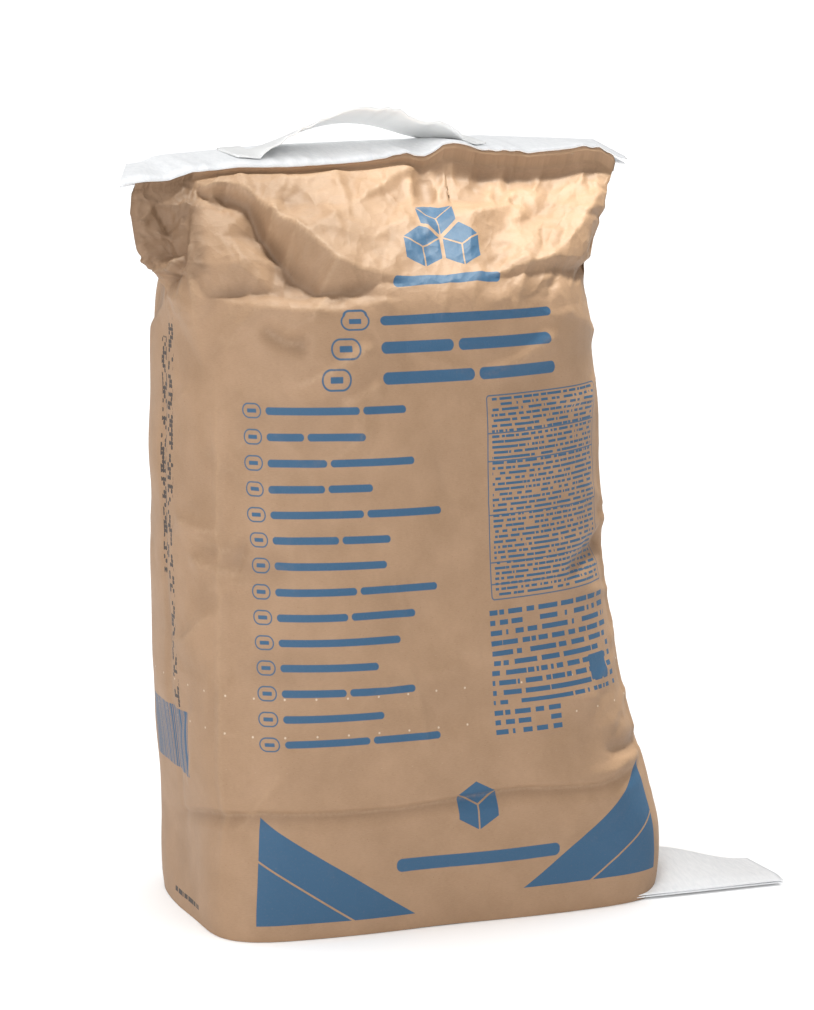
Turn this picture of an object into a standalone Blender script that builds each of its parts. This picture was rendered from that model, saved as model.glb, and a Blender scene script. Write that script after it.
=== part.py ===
"""A shut paper sack of granulated sugar: side-gusseted kraft paper, taped across both ends, with a carrying strap.

Metres, +Z up, +X to the right and -Y to the front. The origin is on the floor under the middle of the sack.
The sack is one lofted skin: rings of the filled body, a gable that closes at the top with its left gusset pulled out
into an ear, and a flat seam that turns to the back. The lower seam is folded under the sack and sticks out at its right.
"""

from math import cos, pi, radians, sin

import bmesh
import bpy
import numpy as np

# Paper tube
FACE_WIDTH = 0.264  # flat width of the front and of the back
GUSSET_WIDTH = 0.112  # flat width of each side
SHOULDER_Z = 0.318  # where the filled body ends
GABLE_LENGTH = 0.095  # along the paper, from the shoulder to where front and back meet
FOLD_Y = 0.004  # where the seam turns to the back
CLOSING_Y = 0.006  # where front and back meet, below the fold
LIP_LEFT, LIP_RIGHT = 0.0015, 0.0045  # height of the upright seam between them
SEAM_LEFT, SEAM_RIGHT = -0.1445, 0.1195  # ends of the upper seam
FRONT_LEFT = -0.1130  # left edge of the front on the seam: the left gusset is pulled out beyond it
TUCK = 0.75  # how far the right gusset folds in between front and back, of half its width
EAR_SWELL = 0.004  # how far the left gusset stands out below the seam's end

# Filled body: height, half width, half depth, squareness of the outline, centre x, turn in degrees
BODY = np.array(
    [
        (0.000, 0.1270, 0.0745, 3.40, 0.0000, -3.0),
        (0.010, 0.1280, 0.0775, 3.50, 0.0005, -3.0),
        (0.035, 0.1270, 0.0805, 3.60, 0.0010, -3.0),
        (0.060, 0.1250, 0.0825, 3.40, -0.0015, -2.0),
        (0.100, 0.1205, 0.0850, 3.00, -0.0095, -0.5),
        (0.180, 0.1165, 0.0870, 2.55, -0.0168, 1.0),
        (0.250, 0.1155, 0.0865, 2.40, -0.0182, 1.0),
        (0.318, 0.1125, 0.0800, 2.50, -0.0185, 0.0),
    ]
)

# Top of the upper fold along the sack: x and height
FOLD_LINE = np.array(
    [
        (-0.153, 0.3765),
        (-0.140, 0.3780),
        (-0.127, 0.3785),
        (-0.115, 0.3820),
        (-0.090, 0.3838),
        (-0.060, 0.3833),
        (-0.020, 0.3850),
        (0.000, 0.3870),
        (0.011, 0.3848),
        (0.022, 0.3912),
        (0.028, 0.3912),
        (0.045, 0.3878),
        (0.070, 0.3857),
        (0.088, 0.3863),
        (0.103, 0.3884),
        (0.112, 0.3872),
        (0.120, 0.3820),
        (0.128, 0.3800),
    ]
)

# Folds of the front, in millimetres from its middle line and along the paper from the floor.
# Each is (points, height, width to the left of its direction, width to the right).
FRONT_FOLDS = [
    ([(-82, 392), (-66, 359), (-57, 344), (-30, 333)], 4.0, 26, 11),  # long slanting fold
    ([(-118, 330), (-93, 334), (-70, 332), (-40, 331)], 2.5, 10, 5),  # dart under it
    ([(-132, 350), (-99, 353), (-80, 358)], 2.0, 10, 8),
    ([(60, 330), (79, 343), (102, 356), (131, 377)], 4.5, 16, 10),  # ridge of the right ear
    ([(72, 341), (99, 338), (124, 337)], 3.5, 12, 3),  # shelf below the right ear
    ([(30, 400), (79, 391), (131, 404)], -2.5, 8, 8),  # hollow under the ridge
    ([(-140, 67), (82, 67), (140, 80)], -1.4, 5, 7),  # crease all along the front
    ([(78, 178), (96, 183), (136, 192)], -4.0, 9, 9),  # notch at the right
    ([(-140, 190), (-107, 195), (-80, 186)], -2.0, 12, 12),
]

# Folded seams and tapes
SEAM_HALF = 0.001  # half the thickness of the pressed layers
SEAM_LENGTH = 0.040
SEAM_RADIUS = 0.0022
SEAM_RISE = 6.0  # degrees that the top seam rises to the back
TAPE = 0.0008
GAP = 0.0003
TAPE_START = 0.003  # from the fold to the edge of the tape
TAPE_OVERHANG = 0.008

# Lower seam
FOOT_SEAM_END = 0.176  # x of the paper's right edge
FOOT_SEAM_Y = -0.0665  # front edge of the tape at x = 0
FOOT_SEAM_SLOPE = -0.06
FOOT_SEAM_Z = 0.0024  # middle of its layers
FOOT_SEAM_LIFT = 0.012  # how far its far edge is lifted beside the body

# Carrying strap
STRAP_X = -0.019
STRAP_HALF_SPAN = 0.0555
STRAP_TAB = 0.013
STRAP_RISE = 0.0155
STRAP_WIDTH = 0.031
STRAP = 0.0012

# Mesh
FACE_STEPS = 26
GUSSET_STEPS = 8
SEAM_STEP = (SEAM_RIGHT - FRONT_LEFT) / FACE_STEPS
SEAM_STOPS = np.concatenate(
    [
        np.linspace(SEAM_LEFT, FRONT_LEFT, GUSSET_STEPS // 2, endpoint=False),
        np.linspace(FRONT_LEFT, SEAM_RIGHT, FACE_STEPS + 1),
    ]
)
KRAFT = (0.42, 0.27, 0.16, 1.0)
WHITE = (0.86, 0.86, 0.85, 1.0)


def remove_everything():
    for old in list(bpy.data.objects):
        bpy.data.objects.remove(old, do_unlink=True)


def material(name, colour, roughness):
    made = bpy.data.materials.new(name)
    made.use_nodes = True
    shader = made.node_tree.nodes["Principled BSDF"]
    shader.inputs["Base Color"].default_value = colour
    shader.inputs["Roughness"].default_value = roughness
    shader.inputs["Metallic"].default_value = 0.0
    return made


def object_from(name, vertices, faces, finish):
    mesh = bpy.data.meshes.new(name)
    mesh.from_pydata([tuple(map(float, v)) for v in vertices], [], [tuple(map(int, f)) for f in faces])
    model = bmesh.new()
    model.from_mesh(mesh)
    bmesh.ops.recalc_face_normals(model, faces=model.faces)
    model.to_mesh(mesh)
    model.free()
    mesh.shade_smooth()
    mesh.set_sharp_from_angle(angle=radians(35))
    mesh.materials.append(finish)
    made = bpy.data.objects.new(name, mesh)
    bpy.context.scene.collection.objects.link(made)
    return made


def smooth_step(value):
    value = np.clip(value, 0, 1)
    return value * value * (3 - 2 * value)


def through_stations(rows, at):
    """Rows of values read at the given heights, on a smooth curve that never overshoots its rows."""
    x, y = rows[:, 0], rows[:, 1:]
    step = np.diff(x)
    rate = np.diff(y, axis=0) / step[:, None]
    slope = np.zeros_like(y)
    slope[0], slope[-1] = rate[0], rate[-1]
    same_way = rate[:-1] * rate[1:] > 0
    before, after = (2 * step[1:] + step[:-1])[:, None], (step[1:] + 2 * step[:-1])[:, None]
    safe = np.where(same_way, rate[:-1], 1.0), np.where(same_way, rate[1:], 1.0)
    slope[1:-1] = np.where(same_way, (before + after) / (before / safe[0] + after / safe[1]), 0)
    k = np.clip(np.searchsorted(x, at) - 1, 0, len(x) - 2)
    t, h = ((at - x[k]) / step[k])[:, None], step[k][:, None]
    return (
        (2 * t**3 - 3 * t**2 + 1) * y[k]
        + (t**3 - 2 * t**2 + t) * h * slope[k]
        + (3 * t**2 - 2 * t**3) * y[k + 1]
        + (t**3 - t**2) * h * slope[k + 1]
    )


def around():
    """Places round the tube: 0 to 1 along the front from its left edge, then right gusset, back and left gusset."""
    return np.concatenate(
        [
            start + np.arange(steps) / steps
            for start, steps in ((0, FACE_STEPS), (1, GUSSET_STEPS), (2, FACE_STEPS), (3, GUSSET_STEPS))
        ]
    )


def on_tube(u):
    """Which panel each place is on, its place across the tube from -1 to 1, and across a gusset from -1, its front edge."""
    panel, share = np.floor(u).astype(int) % 4, u - np.floor(u)
    ones = np.ones_like(share)
    across = np.select([panel == 0, panel == 1, panel == 2], [2 * share - 1, ones, 1 - 2 * share], -ones)
    through = np.select([panel == 0, panel == 1, panel == 2], [-ones, 2 * share - 1, ones], 1 - 2 * share)
    return panel, share, across, through


def outline(u, half_width, half_depth, squareness, centre, turn):
    """Points of one ring of the body, spread evenly over each panel of the paper."""
    t = np.linspace(0, 2 * pi, 1441)
    x = half_width * np.sign(np.cos(t)) * abs(np.cos(t)) ** (2 / squareness)
    y = half_depth * np.sign(np.sin(t)) * abs(np.sin(t)) ** (2 / squareness)
    run = np.concatenate([[0], np.cumsum(np.hypot(np.diff(x), np.diff(y)))])
    face = run[-1] * FACE_WIDTH / (2 * (FACE_WIDTH + GUSSET_WIDTH))
    side = run[-1] / 2 - face
    panel, share, _, _ = on_tube(u)
    begins = np.array([0, face, face + side, 2 * face + side])[panel]
    at = (run[-1] / 2 + side / 2 + begins + share * np.array([face, side, face, side])[panel]) % run[-1]
    px, py, angle = np.interp(at, run, x), np.interp(at, run, y), radians(turn)
    return centre + px * cos(angle) - py * sin(angle), px * sin(angle) + py * cos(angle)


def body_rings(u, heights):
    rings = np.empty((len(heights), len(u), 3))
    for ring, z, station in zip(rings, heights, through_stations(BODY, heights)):
        ring[:, 0], ring[:, 1] = outline(u, *station)
        ring[:, 2] = z
    return rings


def fold_height_at(x):
    """Height of the seam's middle where it turns to the back. It's straight between the skin's columns."""
    stops = np.concatenate([[SEAM_LEFT - TAPE_OVERHANG], SEAM_STOPS, [SEAM_RIGHT + TAPE_OVERHANG]])
    return np.interp(x, stops, np.interp(stops, *FOLD_LINE.T)) - SEAM_RADIUS - SEAM_HALF


def seam_place(across, through):
    """Where the flattened tube's columns lie along the seam, and to which side of its middle."""
    share = (across + 1) / 2
    face_x = FRONT_LEFT + share * (SEAM_RIGHT - FRONT_LEFT)
    left_x = SEAM_LEFT + (FRONT_LEFT - SEAM_LEFT) * abs(through)
    right_x = SEAM_RIGHT + SEAM_HALF * (1 - through**2)
    in_gusset = abs(through) < 1
    x = np.where(in_gusset & (across < 0), left_x, np.where(in_gusset, right_x, face_x))
    side = np.where(across < 0, np.clip(3 * through, -1, 1), through)
    return x, side


def gable_rings(u, shares):
    """Rings from the shoulder, at 0, to where front and back meet, at 1. The right gusset tucks in between them."""
    shoulder = body_rings(u, np.array([SHOULDER_Z]))[0]
    _, _, across, through = on_tube(u)
    top_x, side = seam_place(across, through)
    lip = LIP_LEFT + (LIP_RIGHT - LIP_LEFT) * smooth_step((top_x + 0.005) / 0.03)
    top = np.stack([top_x, CLOSING_Y + SEAM_HALF * side, fold_height_at(top_x) - lip], axis=1)
    curve = 1 + 0.35 * smooth_step((across + 1) / 0.5)
    rings = np.empty((len(shares), len(u), 3))
    for ring, share in zip(rings, shares):
        ring[:] = shoulder + (top - shoulder) * (share**curve)[:, None]
        free = 1 - abs(through)
        ring[:, 0] -= np.where(across > 0, TUCK * GUSSET_WIDTH / 2 * sin(pi * share) ** 0.8, 0) * free
        ring[:, 0] -= np.where(across < 0, EAR_SWELL * sin(pi * share), 0) * free
        ring[:, 2] = SHOULDER_Z + (top[:, 2] - SHOULDER_Z) * share
    return rings


def top_seam_frame(x, distance):
    """Middle of the folded seam at a distance along it from the fold, and the way its front layer faces."""
    end = radians(90 - SEAM_RISE)
    bend = SEAM_RADIUS * end
    angle = end * np.clip(distance / bend, 0, 1)
    straight = np.clip(distance - bend, 0, None)
    y = FOLD_Y + SEAM_RADIUS * (1 - np.cos(angle)) + straight * np.sin(end)
    z = fold_height_at(x) + SEAM_RADIUS * np.sin(angle) + straight * np.cos(end)
    return y, z, -np.cos(angle), np.sin(angle)


def seam_rings(u, distances):
    _, _, across, through = on_tube(u)
    rings = np.empty((len(distances), len(u), 3))
    for ring, distance in zip(rings, distances):
        x, side = seam_place(across, through)
        y, z, facing_y, facing_z = top_seam_frame(x, distance)
        ring[:, 0] = x
        ring[:, 1] = y - facing_y * SEAM_HALF * side
        ring[:, 2] = z - facing_z * SEAM_HALF * side
    return rings


def fold_height(p, v, points, height, left, right):
    """Height of a fold at places p, v of the paper: a crest along the points that falls off to each side."""
    points = np.array(points, float)
    total = np.hypot(*np.diff(points, axis=0).T).sum()
    best, run = np.zeros(np.broadcast(p, v).shape), 0.0
    for start, end in zip(points[:-1], points[1:]):
        way = end - start
        length = np.hypot(*way)
        along = ((p - start[0]) * way[0] + (v - start[1]) * way[1]) / length
        aside = ((v - start[1]) * way[0] - (p - start[0]) * way[1]) / length
        past = np.maximum(np.maximum(-along, along - length), 0)
        reach = np.where(aside > 0, left, right)
        shape = np.clip(1 - np.hypot(aside, past) / reach, 0, 1) ** 1.3
        place = (run + np.clip(along, 0, length)) / total
        best = np.maximum(best, shape * smooth_step(place / 0.25) * smooth_step((1 - place) / 0.2))
        run += length
    return height * best


def folded(rings, u, paper):
    """The rings with the front's folds raised along the skin's own normals."""
    panel, share, _, _ = on_tube(u)
    p = (share - 0.5) * FACE_WIDTH * 1000
    relief = sum(fold_height(p[None, :], paper[:, None] * 1000, *fold) for fold in FRONT_FOLDS)
    relief = relief * (panel == 0) * smooth_step((1 - abs(2 * share - 1)) / 0.08)[None, :] / 1000
    round_way = np.roll(rings, -1, axis=1) - np.roll(rings, 1, axis=1)
    normal = np.cross(round_way, np.gradient(rings, axis=0))
    normal /= np.linalg.norm(normal, axis=2, keepdims=True)
    return rings + normal * relief[:, :, None]


def tube_faces(rows, columns, loop_ends=True):
    """Quads between rings, and flat caps that join each column to the one across from it."""
    faces = []
    for row in range(rows - 1):
        for column in range(columns):
            after = (column + 1) % columns
            a, b = row * columns + column, row * columns + after
            faces.append((a, b, b + columns, a + columns))
    first = columns - GUSSET_STEPS // 2  # middle of the left gusset
    for ring in (0, rows - 1) if loop_ends else ():
        for k in range(columns // 2):
            front = [ring * columns + (first + k + i) % columns for i in (0, 1)]
            back = [ring * columns + (first - k - i) % columns for i in (1, 0)]
            faces.append(tuple(dict.fromkeys(front + back)))
    return faces


def sack_skin():
    u = around()
    heights = np.concatenate([[0, 0.002, 0.005], np.arange(0.010, 0.0621, 0.0087), np.arange(0.070, 0.3115, 0.0124)])
    shares = np.linspace(0, 1, 13)
    rings = np.concatenate([body_rings(u, heights), gable_rings(u, shares)])
    paper = np.concatenate([heights, SHOULDER_Z + shares * GABLE_LENGTH])
    rings = folded(rings, u, paper)
    bend = SEAM_RADIUS * radians(90 - SEAM_RISE)
    distances = np.concatenate([np.linspace(0, bend, 4), bend + np.array([0.012, 0.026, SEAM_LENGTH])])
    rings = np.concatenate([rings, seam_rings(u, distances)])
    return rings.reshape(-1, 3), tube_faces(len(rings), len(u))


def foot_seam_frame(x, distance):
    """Middle height of the lower seam's layers, at a distance back from the tape's front edge."""
    stops = FOOT_SEAM_END - SEAM_STEP / 2 * np.arange(2 * FACE_STEPS, -4, -1)
    rise = smooth_step((stops - 0.106) / 0.022) * smooth_step((FOOT_SEAM_END + 0.008 - stops) / 0.06)
    beside = np.interp(x, stops, rise)
    lift = FOOT_SEAM_LIFT * beside * distance / SEAM_LENGTH
    return FOOT_SEAM_Y + FOOT_SEAM_SLOPE * x + distance, FOOT_SEAM_Z + lift


def stops_between(start, end, through, step):
    """Both ends, and every step between them that lies on the row through a given place."""
    row = through + step * np.arange(np.ceil((start - through) / step), np.floor((end - through) / step) + 1)
    inner = row[(row > start + 0.1 * step) & (row < end - 0.1 * step)]
    return np.concatenate([[start], inner, [end]])


def strip(name, section, xs, frame, finish):
    """A solid run along X: section is a closed loop of (distance along the seam, offset from its middle)."""
    section, steps = np.array(section, float), len(xs)
    points = []
    for x in xs:
        y, z = frame(x, section[:, 0], section[:, 1])
        points.append(np.stack([np.full(len(section), x), y, z], axis=1))
    count = len(section)
    faces = []
    for i in range(steps - 1):
        for k in range(count):
            a, b = i * count + k, i * count + (k + 1) % count
            if section[a % count, 0] <= section[b % count, 0]:  # the same diagonal on every layer
                faces += [(a, b, b + count), (a, b + count, a + count)]
            else:
                faces += [(a, b, a + count), (b, b + count, a + count)]
    faces.append(tuple(range(count)))
    faces.append(tuple((steps - 1) * count + k for k in range(count)))
    return object_from(name, np.concatenate(points), faces, finish)


def along_foot(x, distance, offset):
    y, z = foot_seam_frame(x, distance)
    return y, z + offset


def under_foot(x, distance, offset):
    """The same above the seam's middle, and all the way down below the floor."""
    y, z = along_foot(x, distance, offset)
    return y, np.where(offset < 0, -0.004, z)


def along_top(x, distance, offset):
    y, z, facing_y, facing_z = top_seam_frame(x, distance)
    return y + facing_y * offset, z + facing_z * offset


def side_of(offset, start, end):
    """One side of a layer, with points along it so that it can bend."""
    return [(distance, offset) for distance in stops_between(start, end, 0, SEAM_LENGTH / 4)]


def block(half, start, end):
    """Outline of a flat layer."""
    return side_of(half, start, end) + side_of(-half, start, end)[::-1]


def around_seam(inner, start, length):
    """Outline of a tape folded round a seam: two flat layers joined past the seam's edge."""
    outer, inside, outside = inner + TAPE, length + GAP, length + GAP + TAPE
    return (
        side_of(outer, start, outside)
        + side_of(-outer, start, outside)[::-1]
        + side_of(-inner, start, inside)
        + side_of(inner, start, inside)[::-1]
    )


def cut_or_join(target, other, operation):
    modifier = target.modifiers.new(operation.title(), "BOOLEAN")
    modifier.operation = operation
    modifier.object = other
    other.hide_render = True
    other.display_type = "WIRE"


def build():
    remove_everything()
    kraft = material("kraft_paper", KRAFT, 0.8)
    crepe = material("crepe_tape", WHITE, 0.85)
    webbing = material("paper_strap", WHITE, 0.6)

    sack = object_from("sack", *sack_skin(), kraft)
    left_end = FOOT_SEAM_END - FACE_WIDTH
    inner = SEAM_HALF + GAP
    foot_step = SEAM_STEP / 2
    room = strip(
        "room_for_lower_seam",
        block(inner + TAPE + GAP, -GAP, SEAM_LENGTH + 2 * GAP + TAPE + GAP),
        stops_between(left_end - TAPE_OVERHANG - GAP, FOOT_SEAM_END + TAPE_OVERHANG + GAP, FOOT_SEAM_END, foot_step),
        under_foot,
        kraft,
    )
    tongue = strip(
        "lower_seam_layers",
        block(SEAM_HALF, -0.004, SEAM_LENGTH),
        stops_between(left_end, FOOT_SEAM_END, FOOT_SEAM_END, foot_step),
        along_foot,
        kraft,
    )
    cut_or_join(sack, room, "DIFFERENCE")
    cut_or_join(sack, tongue, "UNION")
    strip(
        "bottom_tape",
        around_seam(inner, 0.0, SEAM_LENGTH),
        stops_between(left_end - TAPE_OVERHANG, FOOT_SEAM_END + TAPE_OVERHANG, FOOT_SEAM_END, foot_step),
        along_foot,
        crepe,
    )

    bend = SEAM_RADIUS * radians(90 - SEAM_RISE)
    strip(
        "top_tape",
        around_seam(inner, bend + TAPE_START, bend + SEAM_LENGTH),
        np.concatenate([[SEAM_LEFT - TAPE_OVERHANG], SEAM_STOPS, [SEAM_RIGHT + TAPE_OVERHANG]]),
        along_top,
        crepe,
    )

    bed = inner + TAPE + GAP + STRAP / 2
    first = bend + TAPE_START + (SEAM_LENGTH - TAPE_START - STRAP_WIDTH) / 2
    reach = STRAP_HALF_SPAN + STRAP_TAB

    def along_strap(x, distance, offset):
        share = min(abs(x - STRAP_X) / STRAP_HALF_SPAN, 1)
        y, z = along_top(x, distance, bed)
        return y, z + STRAP_RISE * cos(pi / 2 * share) ** 1.3 + offset

    strip(
        "handle",
        [(s, STRAP / 2) for s in (first, first + STRAP_WIDTH)]
        + [(s, -STRAP / 2) for s in (first + STRAP_WIDTH, first)],
        stops_between(STRAP_X - reach, STRAP_X + reach, FRONT_LEFT, SEAM_STEP / 4),
        along_strap,
        webbing,
    )


build()
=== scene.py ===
"""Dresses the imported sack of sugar: a kraft paper skin with its folds and print, crepe tapes and a paper strap."""

from math import cos, pi, radians, sin, sqrt

import bpy
import numpy as np
from bpy.props import FloatProperty, PointerProperty, StringProperty
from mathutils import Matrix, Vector
from mathutils.geometry import delaunay_2d_cdt


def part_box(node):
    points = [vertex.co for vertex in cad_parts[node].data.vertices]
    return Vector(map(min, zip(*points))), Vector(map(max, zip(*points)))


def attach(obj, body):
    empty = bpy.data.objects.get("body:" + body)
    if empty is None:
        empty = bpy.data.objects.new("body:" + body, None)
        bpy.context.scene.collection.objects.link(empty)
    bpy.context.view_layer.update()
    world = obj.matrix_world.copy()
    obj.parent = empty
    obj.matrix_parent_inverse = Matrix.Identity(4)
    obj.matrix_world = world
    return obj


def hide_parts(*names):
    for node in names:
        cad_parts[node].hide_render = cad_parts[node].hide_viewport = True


bl_info = {
    "name": "Paper Sack of Sugar",
    "version": (1, 0, 0),
    "blender": (4, 5, 0),
    "location": "View3D > Sidebar > Sack",
    "description": "Builds a filled side-gusseted paper sack with taped ends and a carrying strap",
    "category": "Add Mesh",
}

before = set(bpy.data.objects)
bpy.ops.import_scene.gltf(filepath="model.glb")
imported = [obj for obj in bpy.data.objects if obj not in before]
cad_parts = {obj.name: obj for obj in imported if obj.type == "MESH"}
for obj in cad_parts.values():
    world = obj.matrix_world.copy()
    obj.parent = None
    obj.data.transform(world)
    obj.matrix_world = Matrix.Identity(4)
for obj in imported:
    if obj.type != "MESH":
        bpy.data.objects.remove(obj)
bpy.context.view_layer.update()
TOP_TAPE_LOW, TOP_TAPE_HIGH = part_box("top_tape")
FOOT_TAPE_LOW, FOOT_TAPE_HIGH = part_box("bottom_tape")
STRAP_LOW, STRAP_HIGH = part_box("handle")

# Paper tube, in metres
FACE_WIDTH = 0.264
GUSSET_WIDTH = 0.112
SHOULDER_Z = 0.318
GABLE_LENGTH = 0.095
FOLD_Y = 0.004
CLOSING_Y = 0.006
LIP_LEFT, LIP_RIGHT = 0.0015, 0.0045
SEAM_LEFT, SEAM_RIGHT = -0.1445, 0.1195
FRONT_LEFT = -0.1130
TUCK = 0.75
EAR_SWELL = 0.004
SEAM_HALF = 0.001
SEAM_LENGTH = 0.040
SEAM_RADIUS = 0.0022
SEAM_RISE = 6.0
TAPE = 0.0008
GAP = 0.0003
TAPE_START = 0.003
TAPE_OVERHANG = 0.008
FOOT_SEAM_END = 0.176
FOOT_SEAM_Y = -0.0665
FOOT_SEAM_SLOPE = -0.06
FOOT_SEAM_Z = 0.0024
FOOT_SEAM_LIFT = 0.012
STRAP_X = -0.019
STRAP_HALF_SPAN = 0.0555
STRAP_TAB = 0.013
STRAP_RISE = 0.0155
STRAP_WIDTH = 0.031
STRAP = 0.0012

# Filled body: height, half width, half depth, squareness of the outline, centre x, turn in degrees
BODY = np.array(
    [
        (0.000, 0.1228, 0.0722, 5.60, 0.0000, -3.0),
        (0.010, 0.1236, 0.0750, 5.60, 0.0005, -3.0),
        (0.035, 0.1232, 0.0782, 5.00, 0.0010, -3.0),
        (0.060, 0.1222, 0.0808, 4.20, -0.0015, -2.0),
        (0.100, 0.1196, 0.0845, 3.30, -0.0095, -0.5),
        (0.180, 0.1165, 0.0870, 2.55, -0.0168, 1.0),
        (0.250, 0.1155, 0.0865, 2.40, -0.0182, 1.0),
        (0.318, 0.1125, 0.0800, 2.50, -0.0185, 0.0),
    ]
)

# Top of the upper fold along the sack: x and height
FOLD_LINE = np.array(
    [
        (-0.153, 0.3765),
        (-0.140, 0.3780),
        (-0.127, 0.3785),
        (-0.115, 0.3820),
        (-0.090, 0.3838),
        (-0.060, 0.3833),
        (-0.020, 0.3850),
        (0.000, 0.3870),
        (0.011, 0.3848),
        (0.022, 0.3912),
        (0.028, 0.3912),
        (0.045, 0.3878),
        (0.070, 0.3857),
        (0.088, 0.3863),
        (0.103, 0.3884),
        (0.112, 0.3872),
        (0.120, 0.3820),
        (0.128, 0.3800),
    ]
)

# The same along the seam's far edge, which is straighter
FOLD_EVEN = np.array([(-0.153, 0.3770), (-0.115, 0.3815), (-0.060, 0.3850), (0.010, 0.3862), (0.060, 0.3872), (0.128, 0.3835)])

# Folds, in millimetres of paper: across from the front's middle line, and up along the paper from the floor.
# Each is (points, height, width to the left of its direction, width to the right).
MAIN_FOLDS = [
    # crease round the foot
    ([(-230, 44), (-150, 62), (-110, 67), (-35, 66), (34, 70), (82, 67), (141, 76)], -3.0, 2.5, 8),
    # notches at the right edge
    ([(89, 85), (112, 83), (141, 84)], -2.5, 5, 6),
    ([(78, 178), (96, 183), (136, 192)], -4.0, 9, 9),
    # dents at the left edge
    ([(-160, 205), (-120, 197), (-84, 190)], -1.6, 10, 10),
    ([(-150, 250), (-122, 238), (-104, 226)], -1.2, 8, 8),
    ([(-128, 52), (-105, 78), (-92, 96)], 0.8, 5, 4),
    # slanting creases across the upper part of the front
    ([(-92, 278), (-62, 289), (-36, 303)], 3.0, 6, 11),
    ([(-60, 272), (-34, 282)], 2.0, 4, 7),
    ([(-108, 312), (-92, 303), (-74, 299)], -3.0, 10, 7),
    ([(18, 281), (52, 289), (86, 302)], 1.8, 5, 9),
    ([(-83, 241), (-61, 248), (-40, 262)], 1.2, 5, 9),
    # soft folds at the left edge
    ([(-172, 212), (-150, 208), (-128, 208)], 2.4, 5, 10),
    ([(-158, 194), (-136, 189), (-114, 188)], 2.2, 4, 9),
    ([(-184, 146), (-160, 150), (-136, 168)], 1.8, 5, 9),
    # pressed edges of the gussets, and the left one's middle line
    ([(-132, 8), (-131, 150), (-133, 300)], 1.4, 5, 5),
    ([(132, 8), (131, 150), (132, 300)], 1.2, 5, 5),
    ([(-186, 30), (-187, 170), (-186, 300)], -1.5, 7, 7),
]

# Creases of the hand-folded top, between which the paper lies in flat facets. Each is a line of points:
# across and up the paper as above, and out from the filled body's smooth form.
CREASES = [
    # where the seam turns over
    [(-244, 413, 0), (-176, 413, 0), (-134, 413, 0), (-98, 413, 0), (-39, 413, 0), (6, 413, 0), (29, 413, 0)],
    [(29, 413, 0), (87, 413, 0), (132, 413, 0), (160, 413, 0)],
    # left edge of the front
    [(-134, 413, 0), (-136, 391, 3), (-146, 348, 4), (-146, 318, 3), (-140, 285, 0)],
    # small flap below the seam, and the shade under it
    [(-132, 406, 3), (-127, 402, 5), (-115, 402, 6), (-103, 395, 6), (-98, 399, 5), (-98, 408, 3)],
    [(-131, 401, 0), (-126, 398, -2), (-115, 397, -3), (-103, 390, -3)],
    # ridge from the left edge down to the shoulder
    [(-136, 391, 3), (-129, 382, 4), (-122, 366, 4), (-115, 346, 5), (-137, 326, -1)],
    [(-115, 346, 5), (-107, 351, 2), (-91, 359, -10)],
    # hollow beside the long crest
    [(-103, 390, -3), (-98, 374, -9), (-91, 359, -10), (-82, 345, -10), (-70, 332, -7)],
    # long crest
    [(-98, 392, 4), (-88, 377, 9), (-73, 362, 12), (-58, 345, 10), (-30, 336, 0)],
    # shoulder, and the bulge below it
    [(-137, 326, -1), (-97, 334, -6), (-84, 330, -6), (-70, 332, -7), (-55, 332, -4), (-30, 336, 0)],
    [(-139, 312, 1), (-100, 321, 2), (-62, 319, 1), (-20, 324, 0)],
    # upper middle
    [(-73, 362, 12), (-43, 383, 5), (-16, 402, 1), (6, 413, 0)],
    [(-90, 390, 5), (-77, 403, 6), (-62, 411, 1)],
    [(-82, 388, 3), (-53, 406, 5), (-39, 413, 0)],
    [(-58, 345, 10), (-45, 353, 6), (-16, 379, 0)],
    [(-16, 396, -2), (-4, 385, -3)],
    [(-33, 340, 3), (-14, 334, 0)],
    # hollow under the right half of the seam, the swell below it, and the valley beside the corner
    [(0, 406, -3), (25, 406, -6), (60, 408, -6), (87, 408, -5), (124, 409, -3)],
    [(12, 394, -6), (30, 391, -5), (60, 392, -3)],
    [(-5, 368, 2), (30, 376, 3), (60, 385, 0)],
    [(124, 404, -2), (97, 392, -3), (74, 379, -3), (46, 365, -2), (26, 350, 1)],
    [(4, 319, 2), (32, 334, 2)],
    # right corner: ridge, falling side and shelf
    [(127, 392, 2), (106, 363, 8), (79, 344, 6)],
    [(138, 400, -2), (140, 372, -4), (140, 346, -3)],
    [(79, 344, 6), (120, 342, 0), (140, 346, -3), (160, 345, -3)],
    [(82, 339, 0), (120, 337, -5), (160, 338, -5)],
    [(93, 333, -1), (92, 312, 2)],
    [(112, 332, -4), (108, 306, 2)],
    # left side: edge of the tucked gusset and the pockets below it
    [(-176, 413, 0), (-177, 388, 3), (-187, 362, 3), (-192, 345, 0), (-196, 328, -4)],
    [(-172, 400, 1), (-162, 379, -6), (-150, 367, -2)],
    [(-180, 353, -3), (-168, 357, -8), (-148, 360, -3)],
    [(-183, 343, 2), (-165, 346, 3)],
    [(-180, 334, -1), (-166, 338, -5), (-154, 343, -1)],
    [(-226, 326, -5), (-196, 328, -4), (-180, 324, 0), (-160, 322, 3)],
    # where the folds run out
    [(-240, 413, 0), (-240, 290, 0), (-140, 270, 0), (-20, 275, 0), (60, 285, 0), (160, 290, 0), (160, 413, 0)],
]


# ---------------------------------------------------------------- shapes of the sack


def smooth_step(value):
    value = np.clip(value, 0, 1)
    return value * value * (3 - 2 * value)


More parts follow.
